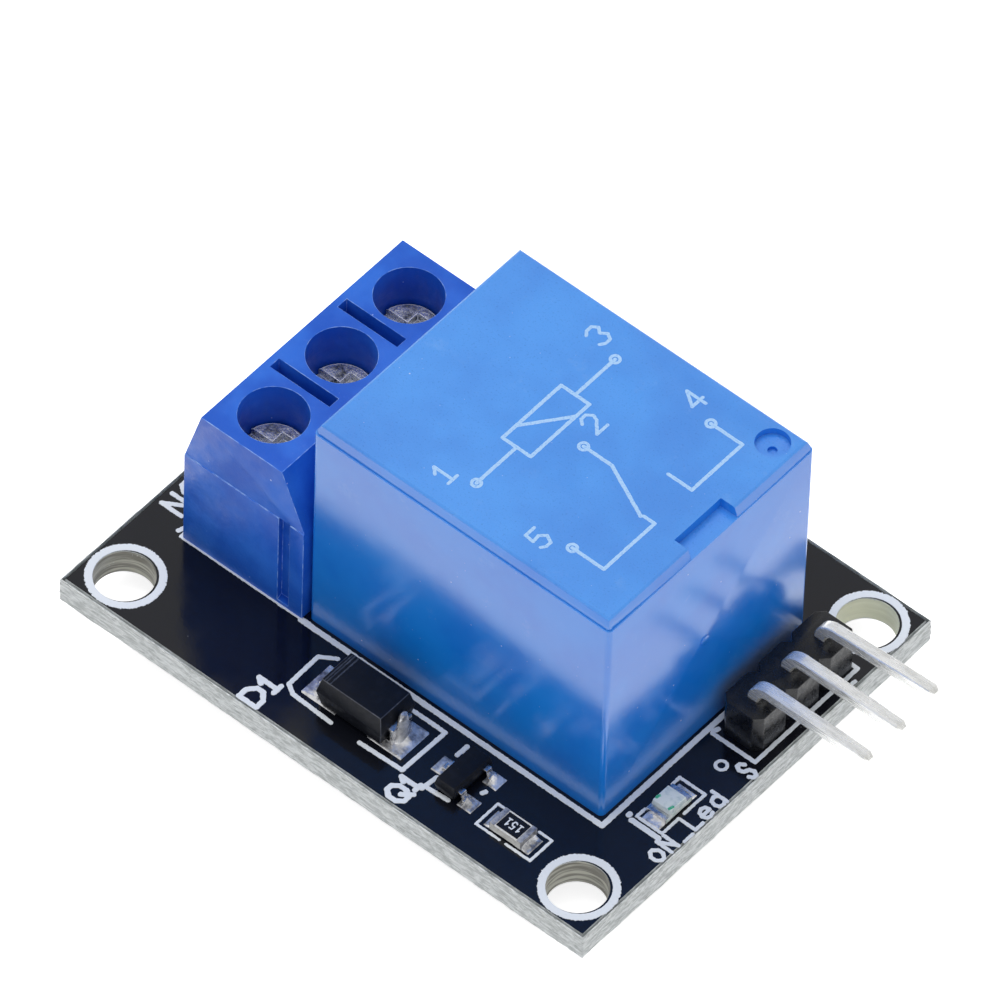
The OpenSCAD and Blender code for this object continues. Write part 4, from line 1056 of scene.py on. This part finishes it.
def floor():
    """A plain white floor just under the lowest lead: lit as a pale surface, and shown and
    mirrored at near full white where no shadow falls on it. Its sizes are in metres."""
    side, room = 0.9, 0.00002
    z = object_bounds()[0].z - room
    mesh = bpy.data.meshes.new("floor")
    mesh.from_pydata([(-side, -side, z), (side, -side, z), (side, side, z), (-side, side, z)],
                     [], [(0, 1, 2, 3)])
    material = bpy.data.materials.new("white floor")
    material.use_nodes = True
    tree = material.node_tree
    tree.nodes.clear()
    matt = add_step(tree, "ShaderNodeBsdfDiffuse", {"Color": (0.8, 0.8, 0.8, 1)})
    glow = add_step(tree, "ShaderNodeEmission", {"Strength": seen_rays(tree, 0.78, 1.0)})
    both = add_step(tree, "ShaderNodeAddShader", {0: matt.outputs[0], 1: glow.outputs[0]})
    add_step(tree, "ShaderNodeOutputMaterial", {"Surface": both.outputs[0]})
    mesh.materials.append(material)
    made = linked("floor", mesh)
    made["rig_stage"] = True


def seen_rays(tree, straight=1.0, mirrored=1.0):
    """A strength for rays that show the background: straight to the camera, and another for
    mirrored or refracted ones. Rays of light get none."""
    rays = add_step(tree, "ShaderNodeLightPath").outputs
    total = 0.0
    for name, share in (("Is Camera Ray", straight), ("Is Glossy Ray", mirrored),
                        ("Is Transmission Ray", mirrored)):
        part = add_step(tree, "ShaderNodeMath", {0: rays[name], 1: share}, operation="MULTIPLY")
        total = add_step(tree, "ShaderNodeMath", {0: total, 1: part.outputs[0]},
                         operation="MAXIMUM").outputs[0]
    return total


def sky():
    """White all round to the eye. As light it is soft and stronger from above. In a polished
    surface the sky is white low down and greyer overhead, as in a white tent."""
    world = bpy.data.worlds.new("tent")
    SCENE.world = world
    world.use_nodes = True
    tree = world.node_tree
    tree.nodes.clear()
    white = (1, 1, 1, 1)
    coords = add_step(tree, "ShaderNodeTexCoord")
    height = add_step(tree, "ShaderNodeSeparateXYZ", {0: coords.outputs["Generated"]}).outputs["Z"]
    grade = add_step(tree, "ShaderNodeMapRange",
                     {"Value": height, **dict(zip(RANGE, (0.1, 0.8, 1, 0.6)))},
                     interpolation_type="SMOOTHSTEP")
    ray = add_step(tree, "ShaderNodeLightPath").outputs["Is Camera Ray"]
    bright = add_step(tree, "ShaderNodeMath", {0: ray, 1: grade.outputs[0]}, operation="MAXIMUM")
    shown = add_step(tree, "ShaderNodeBackground",
                     {"Color": white, "Strength": bright.outputs[0]})
    soft = add_step(tree, "ShaderNodeMapRange",
                    {"Value": height, **dict(zip(RANGE, (-0.2, 1, 0.25, 0.75)))})
    light = add_step(tree, "ShaderNodeBackground", {"Color": white, "Strength": soft.outputs[0]})
    mix = add_step(tree, "ShaderNodeMixShader",
                   {0: seen_rays(tree), 1: light.outputs[0], 2: shown.outputs[0]})
    add_step(tree, "ShaderNodeOutputWorld", {"Surface": mix.outputs[0]})


def lamp(name, place, aim, size, power):
    """A soft square lamp that faces a point, its lengths in millimetres."""
    light = bpy.data.lights.new(name, "AREA")
    light.shape = "SQUARE"
    light.size = size * MM
    light.energy = power
    made = linked(name, light)
    made.location = Vector(place) * MM
    made.rotation_mode = "QUATERNION"
    made.rotation_quaternion = (Vector(aim) - Vector(place)).to_track_quat("-Z", "Y")
    made.visible_glossy = False


def camera():
    """A long lens, a little turned, which looks down over the board's front corner."""
    azimuth, elevation, roll = np.radians([38.894, 50.838, 2.083])
    aim, aside, above, distance = np.array([0.15, -0.2, 5.0]), 0.156, 2.954, 954.17
    level = np.array([np.cos(azimuth), np.sin(azimuth), 0])
    back = np.array([np.sin(azimuth) * np.cos(elevation), -np.cos(azimuth) * np.cos(elevation),
                     np.sin(elevation)])
    upright = np.cross(back, level)
    right = np.cos(roll) * level + np.sin(roll) * upright
    up = -np.sin(roll) * level + np.cos(roll) * upright
    place = (aim + aside * right + above * up + back * distance) * MM
    data = bpy.data.cameras.new("camera")
    data.sensor_width = 36
    data.lens = 700
    data.clip_start, data.clip_end = 0.05, 10
    made = linked("camera", data)
    made.matrix_world = Matrix([[right[i], up[i], back[i], place[i]] for i in range(3)]
                               + [[0, 0, 0, 1]])
    SCENE.camera = made


floor()
sky()
lamp("overhead", (-120, 60, 420), (0, 0, 5), 320, 0.9)
lamp("front fill", (330, -260, 200), (0, 0, 5), 260, 0.34)
camera()

SCENE.view_settings.view_transform = "Standard"
